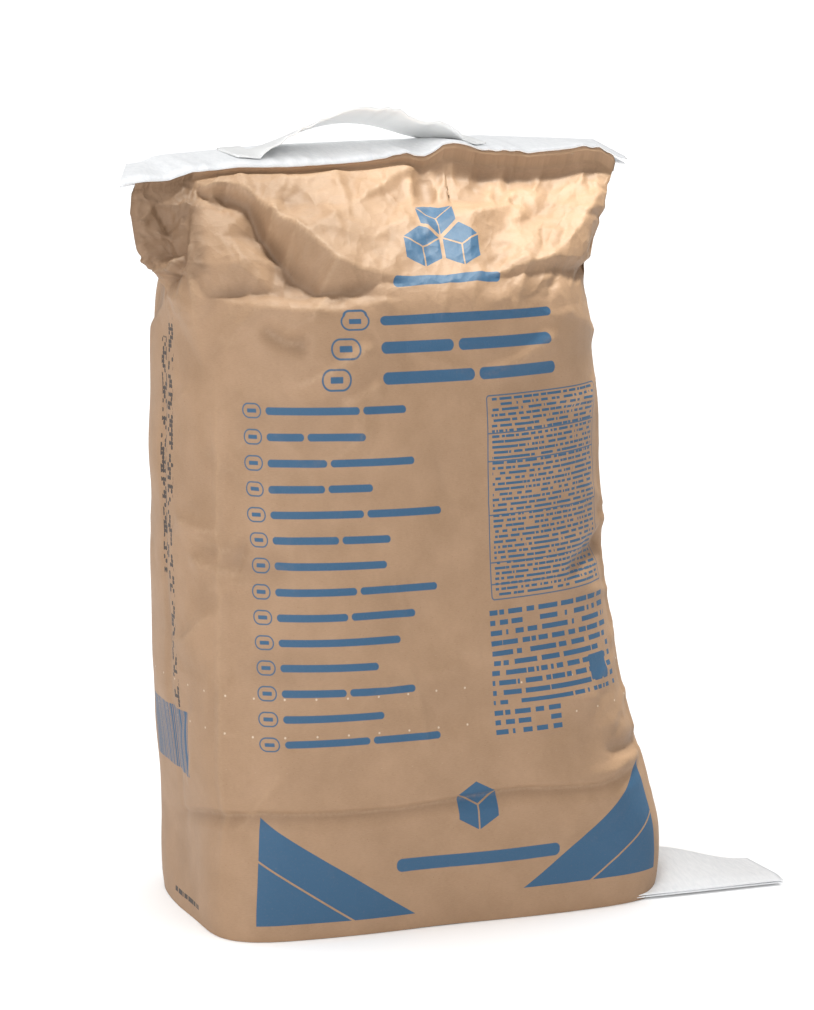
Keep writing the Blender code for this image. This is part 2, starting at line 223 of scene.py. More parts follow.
def through_stations(rows, at):
    """Rows of values read at the given heights, on a smooth curve that never overshoots its rows."""
    x, y = rows[:, 0], rows[:, 1:]
    step = np.diff(x)
    rate = np.diff(y, axis=0) / step[:, None]
    slope = np.zeros_like(y)
    slope[0], slope[-1] = rate[0], rate[-1]
    same_way = rate[:-1] * rate[1:] > 0
    before, after = (2 * step[1:] + step[:-1])[:, None], (step[1:] + 2 * step[:-1])[:, None]
    first, second = np.where(same_way, rate[:-1], 1.0), np.where(same_way, rate[1:], 1.0)
    slope[1:-1] = np.where(same_way, (before + after) / (before / first + after / second), 0)
    k = np.clip(np.searchsorted(x, at) - 1, 0, len(x) - 2)
    t, h = ((at - x[k]) / step[k])[:, None], step[k][:, None]
    return (
        (2 * t**3 - 3 * t**2 + 1) * y[k]
        + (t**3 - 2 * t**2 + t) * h * slope[k]
        + (3 * t**2 - 2 * t**3) * y[k + 1]
        + (t**3 - t**2) * h * slope[k + 1]
    )


class Tube:
    """The sack's paper tube as columns round it: front, right gusset, back and left gusset."""

    def __init__(self, face_step, gusset_step, back_step):
        widths = (FACE_WIDTH, GUSSET_WIDTH, FACE_WIDTH, GUSSET_WIDTH)
        steps = (face_step, gusset_step, back_step, gusset_step)
        # An even count in each gusset keeps a column on its middle line.
        counts = [2 * round(width / step / 2) for width, step in zip(widths, steps)]
        self.gusset_columns = counts[1]
        self.panel = np.repeat(np.arange(4), counts)
        self.share = np.concatenate([np.arange(count) / count for count in counts])
        self.columns = len(self.panel)
        starts = np.cumsum((0,) + widths[:-1])
        flat = starts[self.panel] + self.share * np.array(widths)[self.panel]
        # Distance round the paper from the front's middle line. The left gusset has negative ones.
        self.around = np.where(self.panel == 3, flat - 2 * (FACE_WIDTH + GUSSET_WIDTH), flat) - FACE_WIDTH / 2
        ones = np.ones(self.columns)
        chosen = [self.panel == 0, self.panel == 1, self.panel == 2]
        self.across = np.select(chosen, [2 * self.share - 1, ones, 1 - 2 * self.share], -ones)
        self.through = np.select(chosen, [-ones, 2 * self.share - 1, ones], 1 - 2 * self.share)

    def outline(self, half_width, half_depth, squareness, centre, turn):
        """Points of one ring of the body, spread evenly over each panel of the paper."""
        t = np.linspace(0, 2 * pi, 2881)
        x = half_width * np.sign(np.cos(t)) * abs(np.cos(t)) ** (2 / squareness)
        y = half_depth * np.sign(np.sin(t)) * abs(np.sin(t)) ** (2 / squareness)
        run = np.concatenate([[0], np.cumsum(np.hypot(np.diff(x), np.diff(y)))])
        face = run[-1] * FACE_WIDTH / (2 * (FACE_WIDTH + GUSSET_WIDTH))
        side = run[-1] / 2 - face
        begins = np.array([0, face, face + side, 2 * face + side])[self.panel]
        panel_run = np.array([face, side, face, side])[self.panel]
        at = (run[-1] / 2 + side / 2 + begins + self.share * panel_run) % run[-1]
        px, py, angle = np.interp(at, run, x), np.interp(at, run, y), radians(turn)
        return centre + px * cos(angle) - py * sin(angle), px * sin(angle) + py * cos(angle)

    def body_rings(self, heights):
        rings = np.empty((len(heights), self.columns, 3))
        for ring, z, station in zip(rings, heights, through_stations(BODY, heights)):
            ring[:, 0], ring[:, 1] = self.outline(*station)
            ring[:, 2] = z
        return rings

    def seam_place(self):
        """Where the flattened tube's columns lie along the seam, and to which side of its middle."""
        share = (self.across + 1) / 2
        face_x = FRONT_LEFT + share * (SEAM_RIGHT - FRONT_LEFT)
        left_x = SEAM_LEFT + (FRONT_LEFT - SEAM_LEFT) * abs(self.through)
        right_x = SEAM_RIGHT + SEAM_HALF * (1 - self.through**2)
        in_gusset = abs(self.through) < 1
        x = np.where(in_gusset & (self.across < 0), left_x, np.where(in_gusset, right_x, face_x))
        return x, np.where(self.across < 0, np.clip(3 * self.through, -1, 1), self.through)

    def gable_rings(self, shares):
        """Rings from the shoulder, at 0, to where front and back meet, at 1. The right gusset tucks in."""
        shoulder = self.body_rings(np.array([SHOULDER_Z]))[0]
        top_x, side = self.seam_place()
        lip = LIP_LEFT + (LIP_RIGHT - LIP_LEFT) * smooth_step((top_x + 0.005) / 0.03)
        top = np.stack([top_x, CLOSING_Y + SEAM_HALF * side, fold_height_at(top_x) - lip], axis=1)
        curve = 1 + 0.35 * smooth_step((self.across + 1) / 0.5)
        free = 1 - abs(self.through)
        rings = np.empty((len(shares), self.columns, 3))
        for ring, share in zip(rings, shares):
            ring[:] = shoulder + (top - shoulder) * (share**curve)[:, None]
            ring[:, 0] -= np.where(self.across > 0, TUCK * GUSSET_WIDTH / 2 * sin(pi * share) ** 0.8, 0) * free
            ring[:, 0] -= np.where(self.across < 0, EAR_SWELL * sin(pi * share), 0) * free
            ring[:, 2] = SHOULDER_Z + (top[:, 2] - SHOULDER_Z) * share
        return rings

    def seam_rings(self, distances):
        rings = np.empty((len(distances), self.columns, 3))
        x, side = self.seam_place()
        for ring, distance in zip(rings, distances):
            y, z, facing_y, facing_z = top_seam_frame(x, distance)
            ring[:, 0] = askew(x, distance)
            ring[:, 1] = y - facing_y * SEAM_HALF * side
            ring[:, 2] = z - facing_z * SEAM_HALF * side
        return rings


def fold_height_at(x):
    """Height of the seam's middle where it turns to the back."""
    return np.interp(x, *FOLD_LINE.T) - SEAM_RADIUS - SEAM_HALF


def askew(x, distance):
    """Where places of the top seam come to lie across, as its left end is pulled in towards the far edge."""
    return x + 0.016 * distance / SEAM_LENGTH * smooth_step((-0.115 - x) / 0.035)


def top_seam_frame(x, distance):
    """Middle of the folded seam at a distance along it from the fold, and the way its front layer faces."""
    end = radians(90 - SEAM_RISE)
    bend = SEAM_RADIUS * end
    angle = end * np.clip(distance / bend, 0, 1)
    straight = np.clip(distance - bend, 0, None)
    # The bumps of the fold die out towards the seam's straight far edge.
    even = np.interp(x, *FOLD_EVEN.T) - SEAM_RADIUS - SEAM_HALF
    crinkle = 0.0005 * (np.sin(x / 0.0021 + 3 * np.sin(x / 0.009)) + np.sin(x / 0.0047 + 1))
    near = fold_height_at(x) + crinkle * smooth_step(distance / bend)
    height = near + (even - near) * np.clip(straight / SEAM_LENGTH, 0, 1)
    y = FOLD_Y + SEAM_RADIUS * (1 - np.cos(angle)) + straight * np.sin(end)
    z = height + SEAM_RADIUS * np.sin(angle) + straight * np.cos(end)
    return y, z, -np.cos(angle), np.sin(angle)


def foot_seam_frame(x, distance):
    """Middle height of the lower seam's layers, at a distance back from the tape's front edge."""
    rise = smooth_step((x - 0.106) / 0.022) * smooth_step((FOOT_SEAM_END + 0.008 - x) / 0.06)
    lift = FOOT_SEAM_LIFT * rise * distance / SEAM_LENGTH
    return FOOT_SEAM_Y + FOOT_SEAM_SLOPE * x + distance, FOOT_SEAM_Z + lift


def fold_height(p, v, points, height, left, right):
    """Height of a fold at places p, v of the paper: a crest along the points that falls off to each side."""
    points = np.array(points, float)
    total = np.hypot(*np.diff(points, axis=0).T).sum()
    best, run = np.zeros(np.broadcast(p, v).shape), 0.0
    for start, end in zip(points[:-1], points[1:]):
        way = end - start
        length = np.hypot(*way)
        along = ((p - start[0]) * way[0] + (v - start[1]) * way[1]) / length
        aside = ((v - start[1]) * way[0] - (p - start[0]) * way[1]) / length
        past = np.maximum(np.maximum(-along, along - length), 0)
        reach = np.where(aside > 0, left, right)
        shape = np.clip(1 - np.hypot(aside, past) / reach, 0, 1) ** 1.1
        place = (run + np.clip(along, 0, length)) / total
        best = np.maximum(best, shape * smooth_step(place / 0.25) * smooth_step((1 - place) / 0.2))
        run += length
    return height * best


def scattered_creases(seed, count, area, lengths, heights, reaches, slant, spread):
    """Random short straight creases, of the same form as MAIN_FOLDS, spread over an area of the paper."""
    random = np.random.default_rng(seed)
    made = []
    for _ in range(count):
        middle = random.uniform(area[0], area[1])
        angle = radians(random.normal(slant, spread))
        way = np.array([cos(angle), sin(angle)]) * random.uniform(*lengths) / 2
        bend = np.array([-way[1], way[0]]) * random.uniform(-0.2, 0.2)
        points = [tuple(middle - way), tuple(middle + bend), tuple(middle + way)]
        height = random.uniform(*heights) * random.choice([1, 1, -0.8])
        made.append((points, height, random.uniform(*reaches), random.uniform(*reaches)))
    return made


def small_creases():
    """The crumpling of the top, which is folded by hand, and the fainter creases of the filled body."""
    return (
        scattered_creases(3, 70, ((-130, 318), (132, 404)), (12, 45), (0.4, 1.5), (3, 9), 45, 35)
        + scattered_creases(5, 34, ((-132, 390), (132, 408)), (8, 26), (0.5, 1.4), (3, 7), 80, 22)
        + scattered_creases(6, 40, ((-190, 322), (-136, 408)), (8, 26), (0.6, 2.0), (2.5, 6), 60, 50)
        + scattered_creases(8, 34, ((-132, 80), (132, 318)), (20, 60), (0.25, 0.8), (3, 9), 10, 45)
        + scattered_creases(9, 26, ((80, 60), (150, 330)), (18, 45), (0.4, 1.2), (3, 7), 8, 18)
        + scattered_creases(12, 34, ((-180, 80), (-105, 330)), (14, 40), (0.3, 1.0), (3, 7), 15, 35)
        + scattered_creases(15, 30, ((-240, 8), (-135, 330)), (20, 50), (0.15, 0.5), (4, 9), 20, 50)
        + scattered_creases(16, 30, ((135, 8), (240, 330)), (20, 50), (0.15, 0.6), (4, 9), 20, 50)
        + scattered_creases(20, 40, ((246, 10), (506, 330)), (25, 60), (0.15, 0.45), (4, 10), 10, 50)
        + scattered_creases(21, 40, ((246, 325), (506, 408)), (20, 60), (0.5, 1.5), (4, 12), 75, 35)
        + scattered_creases(24, 24, ((-132, 4), (132, 62)), (12, 40), (0.15, 0.45), (3, 8), 30, 45)
    )


def swell(p, v):
    """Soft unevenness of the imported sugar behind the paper, in millimetres."""
    random = np.random.default_rng(31)
    total = np.zeros(np.broadcast(p, v).shape)
    period = 2000 * (FACE_WIDTH + GUSSET_WIDTH)
    for _ in range(14):
        turns, climb, phase = random.integers(2, 11), random.uniform(-1 / 55, 1 / 55), random.uniform(0, 2 * pi)
        total += random.uniform(0.08, 0.28) * np.sin(2 * pi * (turns * p / period + climb * v) + phase)
    return total


def facet_height(p, v):
    """Height of the flat facets between CREASES, in millimetres, zero beyond them."""
    corners = list(dict.fromkeys(corner for crease in CREASES for corner in crease))
    ends = [pair for crease in CREASES for pair in zip(crease[:-1], crease[1:])]
    edges = [(corners.index(start), corners.index(end)) for start, end in ends]
    made = delaunay_2d_cdt([Vector(corner[:2]) for corner in corners], edges, [], 0, 0.01)
    places, faces, origins = made[0], made[2], made[3]
    if not all(origins):
        raise ValueError("two creases cross: %s" % [tuple(q) for q, o in zip(places, origins) if not o])
    heights = [corners[origin[0]][2] for origin in origins]
    p, v = np.broadcast_arrays(p, v)
    height = np.zeros(p.shape)
    for face in faces:
        (ax, ay), (bx, by), (cx, cy) = (places[index] for index in face)
        area = (bx - ax) * (cy - ay) - (cx - ax) * (by - ay)
        second = ((p - ax) * (cy - ay) - (cx - ax) * (v - ay)) / area
        third = ((bx - ax) * (v - ay) - (p - ax) * (by - ay)) / area
        inside = (second >= 0) & (third >= 0) & (second + third <= 1)
        a, b, c = (heights[index] for index in face)
        height = np.where(inside, a + second * (b - a) + third * (c - a), height)
    return height


def softened(grid, times):
    """The grid with its creases rounded, by a mean over neighbours that is taken several times."""
    for _ in range(times):
        round_way = (np.roll(grid, 1, axis=1) + 2 * grid + np.roll(grid, -1, axis=1)) / 4
        upward = round_way.copy()
        upward[1:-1] = (round_way[:-2] + 2 * round_way[1:-1] + round_way[2:]) / 4
        grid = upward
    return grid


def relief(tube, paper):
    """Height of folds, creases and swelling over the whole tube, how worn each place is, and how hollow, which sets the
    painted shade in the hollows.
    """
    p, v = tube.around[None, :] * 1000, paper[:, None] * 1000
    height, worn = swell(p, v), np.zeros((len(paper), tube.columns))
    facets = facet_height(p, v)
    height += facets
    # Where the facets bend outwards most, the crease is worn.
    worn += np.clip((facets - softened(facets, 6)) / 1.2, 0, 1) ** 1.5
    for points, size, left, right in MAIN_FOLDS:
        height += fold_height(p, v, points, size, left, right)
        worn += fold_height(p, v, points, min(abs(size) / 3, 1), 2.0, 2.0)
    for points, size, left, right in small_creases():
        height += fold_height(p, v, points, size, left, right)
        worn += fold_height(p, v, points, min(abs(size) / 3, 1), 1.8, 1.8)
    # How far each place lies below its surroundings: the paper is painted darker there, as painted shade.
    hollow = np.clip((softened(height, 60) - softened(height, 2)) / 3.0, 0, 1)
    # The folds end where the front and the back meet.
    height *= smooth_step((SHOULDER_Z + GABLE_LENGTH - paper) / 0.004)[:, None]
    return height / 1000, np.clip(worn, 0, 1), hollow


def grid_faces(rows, columns, closed=True):
    row, column = np.meshgrid(np.arange(rows - 1), np.arange(columns if closed else columns - 1), indexing="ij")
    a, b = row * columns + column, row * columns + (column + 1) % columns
    return np.stack([a, b, b + columns, a + columns], axis=-1).reshape(-1, 4)


def foot_recess(x, y):
    """Height of the sack's flat bottom, raised where its lower seam is folded under it."""
    from_front = y - FOOT_SEAM_Y - FOOT_SEAM_SLOPE * x
    inside = (from_front > -0.0012) & (from_front < SEAM_LENGTH + 0.003) & (x > FOOT_SEAM_END - FACE_WIDTH - 0.010)
    lift = foot_seam_frame(x, from_front)[1] - FOOT_SEAM_Z
    return np.where(inside, 0.0052 + np.clip(lift, 0, None), 0.0002)


def mesh_object(name, vertices, faces, finish, attributes=(), coordinates=None, smooth=True):
    mesh = bpy.data.meshes.new(name)
    mesh.from_pydata(np.asarray(vertices, float).tolist(), [], [list(map(int, face)) for face in faces])
    for label, values in attributes:
        mesh.attributes.new(label, "FLOAT", "POINT").data.foreach_set("value", np.asarray(values, np.float32))
    if coordinates is not None:
        layer = mesh.uv_layers.new(name="paper")
        loops = np.empty(len(mesh.loops), np.int32)
        mesh.loops.foreach_get("vertex_index", loops)
        layer.data.foreach_set("uv", coordinates(mesh, loops).astype(np.float32).ravel())
    if smooth:
        mesh.shade_smooth()
    mesh.materials.append(finish)
    made = bpy.data.objects.new(name, mesh)
    bpy.context.scene.collection.objects.link(made)
    return made


# ---------------------------------------------------------------- materials


def srgb(text):
    """Linear colour of a hex value such as #af8f73."""
    values = [int(text[i : i + 2], 16) / 255 for i in (1, 3, 5)]
    return tuple(v / 12.92 if v <= 0.04045 else ((v + 0.055) / 1.055) ** 2.4 for v in values) + (1.0,)


def node(tree, kind, inputs=None, **settings):
    """Adds a node. Its inputs are named or numbered, and each takes a value, a socket or another node."""
    made = tree.nodes.new(kind)
    for name, value in settings.items():
        setattr(made, name, value)
    for key, value in (inputs or {}).items():
        if isinstance(key, int):
            socket = made.inputs[key]
        else:
            socket = next(s for s in made.inputs if s.name == key and s.enabled)
        if isinstance(value, bpy.types.Node):
            value = next(s for s in value.outputs if s.enabled)
        if isinstance(value, bpy.types.NodeSocket):
            tree.links.new(value, socket)
        else:
            socket.default_value = value
    return made


def new_material(name):
    made = bpy.data.materials.new(name)
    made.use_nodes = True
    return made, made.node_tree, made.node_tree.nodes["Principled BSDF"]


def patch(tree, place, centre, half, corner=0.6, soft=0.4):
    """Mask of a rounded rectangle of ink, in millimetres of paper."""
    moved = node(tree, "ShaderNodeVectorMath", {0: place, 1: (*centre, 0)}, operation="SUBTRACT")
    folded = node(tree, "ShaderNodeVectorMath", {0: moved}, operation="ABSOLUTE")
    reach = (half[0] - corner, half[1] - corner, 1e5)
    beyond = node(tree, "ShaderNodeVectorMath", {0: folded, 1: reach}, operation="SUBTRACT")
    beyond = node(tree, "ShaderNodeVectorMath", {0: beyond, 1: (0, 0, 0)}, operation="MAXIMUM")
    distance = node(tree, "ShaderNodeVectorMath", {0: beyond}, operation="LENGTH")
    limits = {"Value": distance, "From Min": corner - soft / 2, "From Max": corner + soft / 2, "To Min": 1, "To Max": 0}
    return node(tree, "ShaderNodeMapRange", limits)


def ring_patch(tree, place, centre, half, corner, line):
    outer = patch(tree, place, centre, half, corner)
    inner = patch(tree, place, centre, (half[0] - line, half[1] - line), corner - line)
    return node(tree, "ShaderNodeMath", {0: outer, 1: inner}, operation="SUBTRACT")


def together(tree, masks):
    """The ink of several masks."""
    total = masks[0]
    for mask in masks[1:]:
        total = node(tree, "ShaderNodeMath", {0: total, 1: mask}, operation="MAXIMUM")
    return total


def product(tree, *factors):
    total = factors[0]
    for factor in factors[1:]:
        total = node(tree, "ShaderNodeMath", {0: total, 1: factor}, operation="MULTIPLY")
    return total


def sugar_cube(tree, place, centre, radius, line=0.9):
    """A cube seen from above one corner: a hexagon whose three inner edges are bare."""
    moved = node(tree, "ShaderNodeVectorMath", {0: place, 1: (*centre, 0)}, operation="SUBTRACT")
    sides, bare = [], []
    # Each pair is the way across an inner edge, and the way along it from the middle.
    for across, along in (
        ((1, 0, 0), (0, -1, 0)),
        ((-0.5, sqrt(0.75), 0), (sqrt(0.75), 0.5, 0)),
        ((0.5, sqrt(0.75), 0), (-sqrt(0.75), 0.5, 0)),
    ):
        aside = node(tree, "ShaderNodeVectorMath", {0: moved, 1: across}, operation="DOT_PRODUCT")
        aside = node(tree, "ShaderNodeMath", {0: aside}, operation="ABSOLUTE")
        ahead = node(tree, "ShaderNodeVectorMath", {0: moved, 1: along}, operation="DOT_PRODUCT")
        near = node(tree, "ShaderNodeMath", {0: aside, 1: line / 2}, operation="LESS_THAN")
        ahead = node(tree, "ShaderNodeMath", {0: ahead, 1: -line / 2}, operation="GREATER_THAN")
        bare.append(product(tree, near, ahead))
        sides.append(aside)
    inside = node(tree, "ShaderNodeMath", {0: together(tree, sides), 1: radius * sqrt(0.75)}, operation="LESS_THAN")
    solid = node(tree, "ShaderNodeMath", {0: 1.0, 1: together(tree, bare)}, operation="SUBTRACT")
    return product(tree, inside, solid)


def corner_flash(tree, place, corner, run, rise, stripe, line=1.2):
    """A triangle of ink in a lower corner, with a thin bare stripe parallel to its long side."""
    moved = node(tree, "ShaderNodeVectorMath", {0: place, 1: (*corner, 0)}, operation="SUBTRACT")
    # Share of the way out to the long side, which is at 1.
    out = node(tree, "ShaderNodeVectorMath", {0: moved, 1: (1 / run, 1 / rise, 0)}, operation="DOT_PRODUCT")
    scaled = node(tree, "ShaderNodeVectorMath", {0: moved, 1: (1 if run > 0 else -1, 1, 1)}, operation="MULTIPLY")
    parts = node(tree, "ShaderNodeSeparateXYZ", {0: scaled})
    beside = node(tree, "ShaderNodeMath", {0: parts.outputs[0], 1: 0.0}, operation="GREATER_THAN")
    above = node(tree, "ShaderNodeMath", {0: parts.outputs[1], 1: 0.0}, operation="GREATER_THAN")
    under = node(tree, "ShaderNodeMath", {0: out, 1: 1.0}, operation="LESS_THAN")
    off = node(tree, "ShaderNodeMath", {0: out, 1: stripe}, operation="SUBTRACT")
    off = node(tree, "ShaderNodeMath", {0: off}, operation="ABSOLUTE")
    off = node(tree, "ShaderNodeMath", {0: off, 1: line / 2 / rise}, operation="GREATER_THAN")
    return product(tree, beside, above, under, off)


def rows_of_bars(tree, p, v, top, pitch, height, start, ends, gaps, name):
    """Rows of plain round-ended bars in place of wording. ends and gaps give each row's end and its bare gaps."""
    count = len(ends)
    counted = node(tree, "ShaderNodeMath", {0: top + pitch / 2, 1: v}, operation="SUBTRACT")
    counted = node(tree, "ShaderNodeMath", {0: counted, 1: pitch}, operation="DIVIDE")
    row = node(tree, "ShaderNodeMath", {0: counted}, operation="FLOOR")
    aside = node(tree, "ShaderNodeMath", {0: counted}, operation="FRACT")
    aside = node(tree, "ShaderNodeMath", {0: aside, 1: pitch, 2: -pitch / 2}, operation="MULTIPLY_ADD")
    share = node(tree, "ShaderNodeMath", {0: row, 1: 0.5}, operation="ADD")
    share = node(tree, "ShaderNodeMath", {0: share, 1: count}, operation="DIVIDE")
    ramp = node(tree, "ShaderNodeValToRGB", {"Fac": share}, name=name)
    ramp.color_ramp.interpolation = "CONSTANT"
    stops = ramp.color_ramp.elements
    while len(stops) < count:
        stops.new(0.5)
    for index, (end, gap) in enumerate(zip(ends, gaps)):
        stops[index].position = index / count
        stops[index].color = ((end + 200) / 400, (gap[0] + 200) / 400, (gap[1] + 200) / 400, 1)
    parts = node(tree, "ShaderNodeSeparateColor", {0: ramp})
    # How far a place lies past the straight part of its bar, at either end or at a gap.
    radius = height / 2
    past = [node(tree, "ShaderNodeMath", {0: start + radius, 1: p}, operation="SUBTRACT")]
    places = [
        node(tree, "ShaderNodeMath", {0: part, 1: 400.0, 2: -200.0}, operation="MULTIPLY_ADD")
        for part in parts.outputs
    ]
    end = node(tree, "ShaderNodeMath", {0: p, 1: places[0]}, operation="SUBTRACT")
    past.append(node(tree, "ShaderNodeMath", {0: end, 1: radius}, operation="ADD"))
    for place in places[1:]:
        off = node(tree, "ShaderNodeMath", {0: p, 1: place}, operation="SUBTRACT")
        off = node(tree, "ShaderNodeMath", {0: off}, operation="ABSOLUTE")
        past.append(node(tree, "ShaderNodeMath", {0: radius * 1.5, 1: off}, operation="SUBTRACT"))
    past = node(tree, "ShaderNodeMath", {0: together(tree, past), 1: 0.0}, operation="MAXIMUM")
    spot = node(tree, "ShaderNodeCombineXYZ", {0: past, 1: aside})
    distance = node(tree, "ShaderNodeVectorMath", {0: spot}, operation="LENGTH")
    limits = {"Value": distance, "From Min": radius - 0.2, "From Max": radius + 0.2, "To Min": 1, "To Max": 0}
    level = node(tree, "ShaderNodeMapRange", limits)
    low = node(tree, "ShaderNodeMath", {0: share, 1: 0.0}, operation="GREATER_THAN")
    high = node(tree, "ShaderNodeMath", {0: share, 1: 1.0}, operation="LESS_THAN")
    return product(tree, level, low, high)


def fine_rows(tree, place, low, high, pitch, height, word):
    """Many small rows of short dashes in place of small print, inside the box from low to high."""
    centre = ((low[0] + high[0]) / 2, (low[1] + high[1]) / 2)
    field = patch(tree, place, centre, ((high[0] - low[0]) / 2, (high[1] - low[1]) / 2), 0.2, 0.1)
    parts = node(tree, "ShaderNodeSeparateXYZ", {0: place})
    counted = node(tree, "ShaderNodeMath", {0: high[1], 1: parts.outputs[1]}, operation="SUBTRACT")
    counted = node(tree, "ShaderNodeMath", {0: counted, 1: pitch}, operation="DIVIDE")
    row = node(tree, "ShaderNodeMath", {0: counted}, operation="FLOOR")
    within = node(tree, "ShaderNodeMath", {0: counted}, operation="FRACT")
    within = node(tree, "ShaderNodeMath", {0: within, 1: height / pitch}, operation="LESS_THAN")
    stretch = node(tree, "ShaderNodeMath", {0: parts.outputs[0], 1: 1 / word}, operation="MULTIPLY")
    shifted = node(tree, "ShaderNodeMath", {0: row, 1: 7.31}, operation="MULTIPLY")
    spot = node(tree, "ShaderNodeCombineXYZ", {0: stretch, 1: shifted})
    noise = node(tree, "ShaderNodeTexNoise", {"Vector": spot, "Scale": 1.0, "Detail": 0.0}, noise_dimensions="2D")
    dash = node(tree, "ShaderNodeMath", {0: noise, 1: 0.40}, operation="GREATER_THAN")
    return product(tree, field, within, dash)


def front_print(tree, place):
    """The blue print of one face, with plain shapes in place of names and wording."""
    parts = node(tree, "ShaderNodeSeparateXYZ", {0: place})
    p, v = parts.outputs[0], parts.outputs[1]
    ink = [
        sugar_cube(tree, place, (9, 378), 13),
        sugar_cube(tree, place, (-3.5, 356.5), 13),
        sugar_cube(tree, place, (21.5, 356.5), 13),
        patch(tree, place, (9, 335), (34, 3.2), 3.0),
        sugar_cube(tree, place, (10, 64), 13),
        patch(tree, place, (10, 36), (46, 3.4), 3.0),
        corner_flash(tree, place, (-110, 9), 86, 56, 0.60),
        corner_flash(tree, place, (118, 17), -82, 58, 0.52),
    ]
    no_gap = (199, 199)
    ink.append(
        rows_of_bars(tree, p, v, 314, 15, 6.0, -35, (78, 75, 79), (no_gap, (10, 199), (22, 199)), "headline")
    )
    ends = (-20, -45, -17, -42, -3, -34, -37, -8, -22, -32, -46, -26, -45, -14)
    gaps = ((-46, 199), (-78, 199), (-66, 199), (-68, 199), (-47, 199), (-62, 199), (199, 199), (-54, 199))
    gaps += ((-60, 199), (199, 199), (199, 199), (-64, 199), (199, 199), (-53, 199))
    # The list leans, so that its lower rows stand further to the right.
    leaning = node(tree, "ShaderNodeMath", {0: v, 1: 0.055, 2: -12.0}, operation="MULTIPLY_ADD")
    leaning = node(tree, "ShaderNodeMath", {0: leaning, 1: p}, operation="ADD")
    ink.append(rows_of_bars(tree, leaning, v, 269, 12.7, 3.8, -100, ends, gaps, "names"))
    for row in range(3):
        ink.append(ring_patch(tree, place, (-50 - 6 * row, 314 - 15 * row), (8.5, 5.5), 5.4, 1.0))
        ink.append(patch(tree, place, (-50 - 6 * row, 314 - 15 * row), (3.6, 1.6), 0.5))
    # One small ring before each row of the list, repeated down the sheet.
    counted = node(tree, "ShaderNodeMath", {0: v, 1: 269 - 13.5 * 12.7}, operation="SUBTRACT")
    counted = node(tree, "ShaderNodeMath", {0: counted, 1: 12.7}, operation="MODULO")
    counted = node(tree, "ShaderNodeMath", {0: counted, 1: 6.35}, operation="SUBTRACT")
    spot = node(tree, "ShaderNodeCombineXYZ", {0: leaning, 1: counted})
    band = patch(tree, place, (-108, 269 - 6.5 * 12.7), (14, 7 * 12.7), 0.2)
    rings = ring_patch(tree, spot, (-108, 0), (5.4, 3.8), 3.7, 0.7)
    marks = patch(tree, spot, (-108, 0), (2.6, 1.0), 0.4)
    ink.append(product(tree, band, together(tree, [rings, marks])))
    # The table, its rules and its small print.
    ink.append(ring_patch(tree, place, (73, 221.5), (46, 51.5), 2.0, 0.6))
    for rule in (254, 240, 213, 189, 178):
        ink.append(patch(tree, place, (73, rule), (46, 0.3), 0.2))
    ink.append(fine_rows(tree, place, (30, 171.5), (116, 271.5), 2.65, 1.3, 2.6))
    ink.append(fine_rows(tree, place, (25, 116), (116, 165), 5.2, 2.6, 4.2))
    ink.append(fine_rows(tree, place, (25, 98), (66, 113), 5.0, 2.6, 4.2))
    ink.append(patch(tree, place, (100, 128), (8, 6.5), 1.0))
    return together(tree, ink)


def left_side_marks(tree, place):
    """Bar stripes and a column of ink-jet dots on the left gusset."""
    parts = node(tree, "ShaderNodeSeparateXYZ", {0: place})
    field = patch(tree, place, (-196, 94), (31, 17), 0.3)
    lines = node(
        tree, "ShaderNodeTexNoise", {"W": parts.outputs[0], "Scale": 0.9, "Detail": 0.0}, noise_dimensions="1D"
    )
    lines = node(tree, "ShaderNodeMath", {0: lines, 1: 0.46}, operation="GREATER_THAN")
    stripes = product(tree, field, lines)
    cells = node(tree, "ShaderNodeVectorMath", {0: place, 1: (2.2, 2.2, 2.2)}, operation="DIVIDE")
    whole = node(tree, "ShaderNodeVectorMath", {0: cells}, operation="FLOOR")
    chance = node(tree, "ShaderNodeTexWhiteNoise", {"Vector": whole}, noise_dimensions="2D")
    chosen = node(tree, "ShaderNodeMath", {0: chance, 1: 0.52}, operation="GREATER_THAN")
    inside = node(tree, "ShaderNodeVectorMath", {0: cells}, operation="FRACTION")
    inside = node(tree, "ShaderNodeVectorMath", {0: inside, 1: (0.5, 0.5, 0)}, operation="SUBTRACT")
    inside = node(tree, "ShaderNodeVectorMath", {0: inside, 1: (1, 1, 0)}, operation="MULTIPLY")
    inside = node(tree, "ShaderNodeVectorMath", {0: inside}, operation="LENGTH")
    inside = node(tree, "ShaderNodeMath", {0: inside, 1: 0.55}, operation="LESS_THAN")
    columns = together(
        tree,
        [
            patch(tree, place, (-177, 212), (3.6, 100), 0.2),
            patch(tree, place, (-187, 240), (3.6, 60), 0.2),
        ],
    )
    small_row = fine_rows(tree, place, (-200, 6.5), (-160, 10), 3.6, 2.6, 2.0)
    return stripes, together(tree, [product(tree, columns, chosen, inside), small_row])


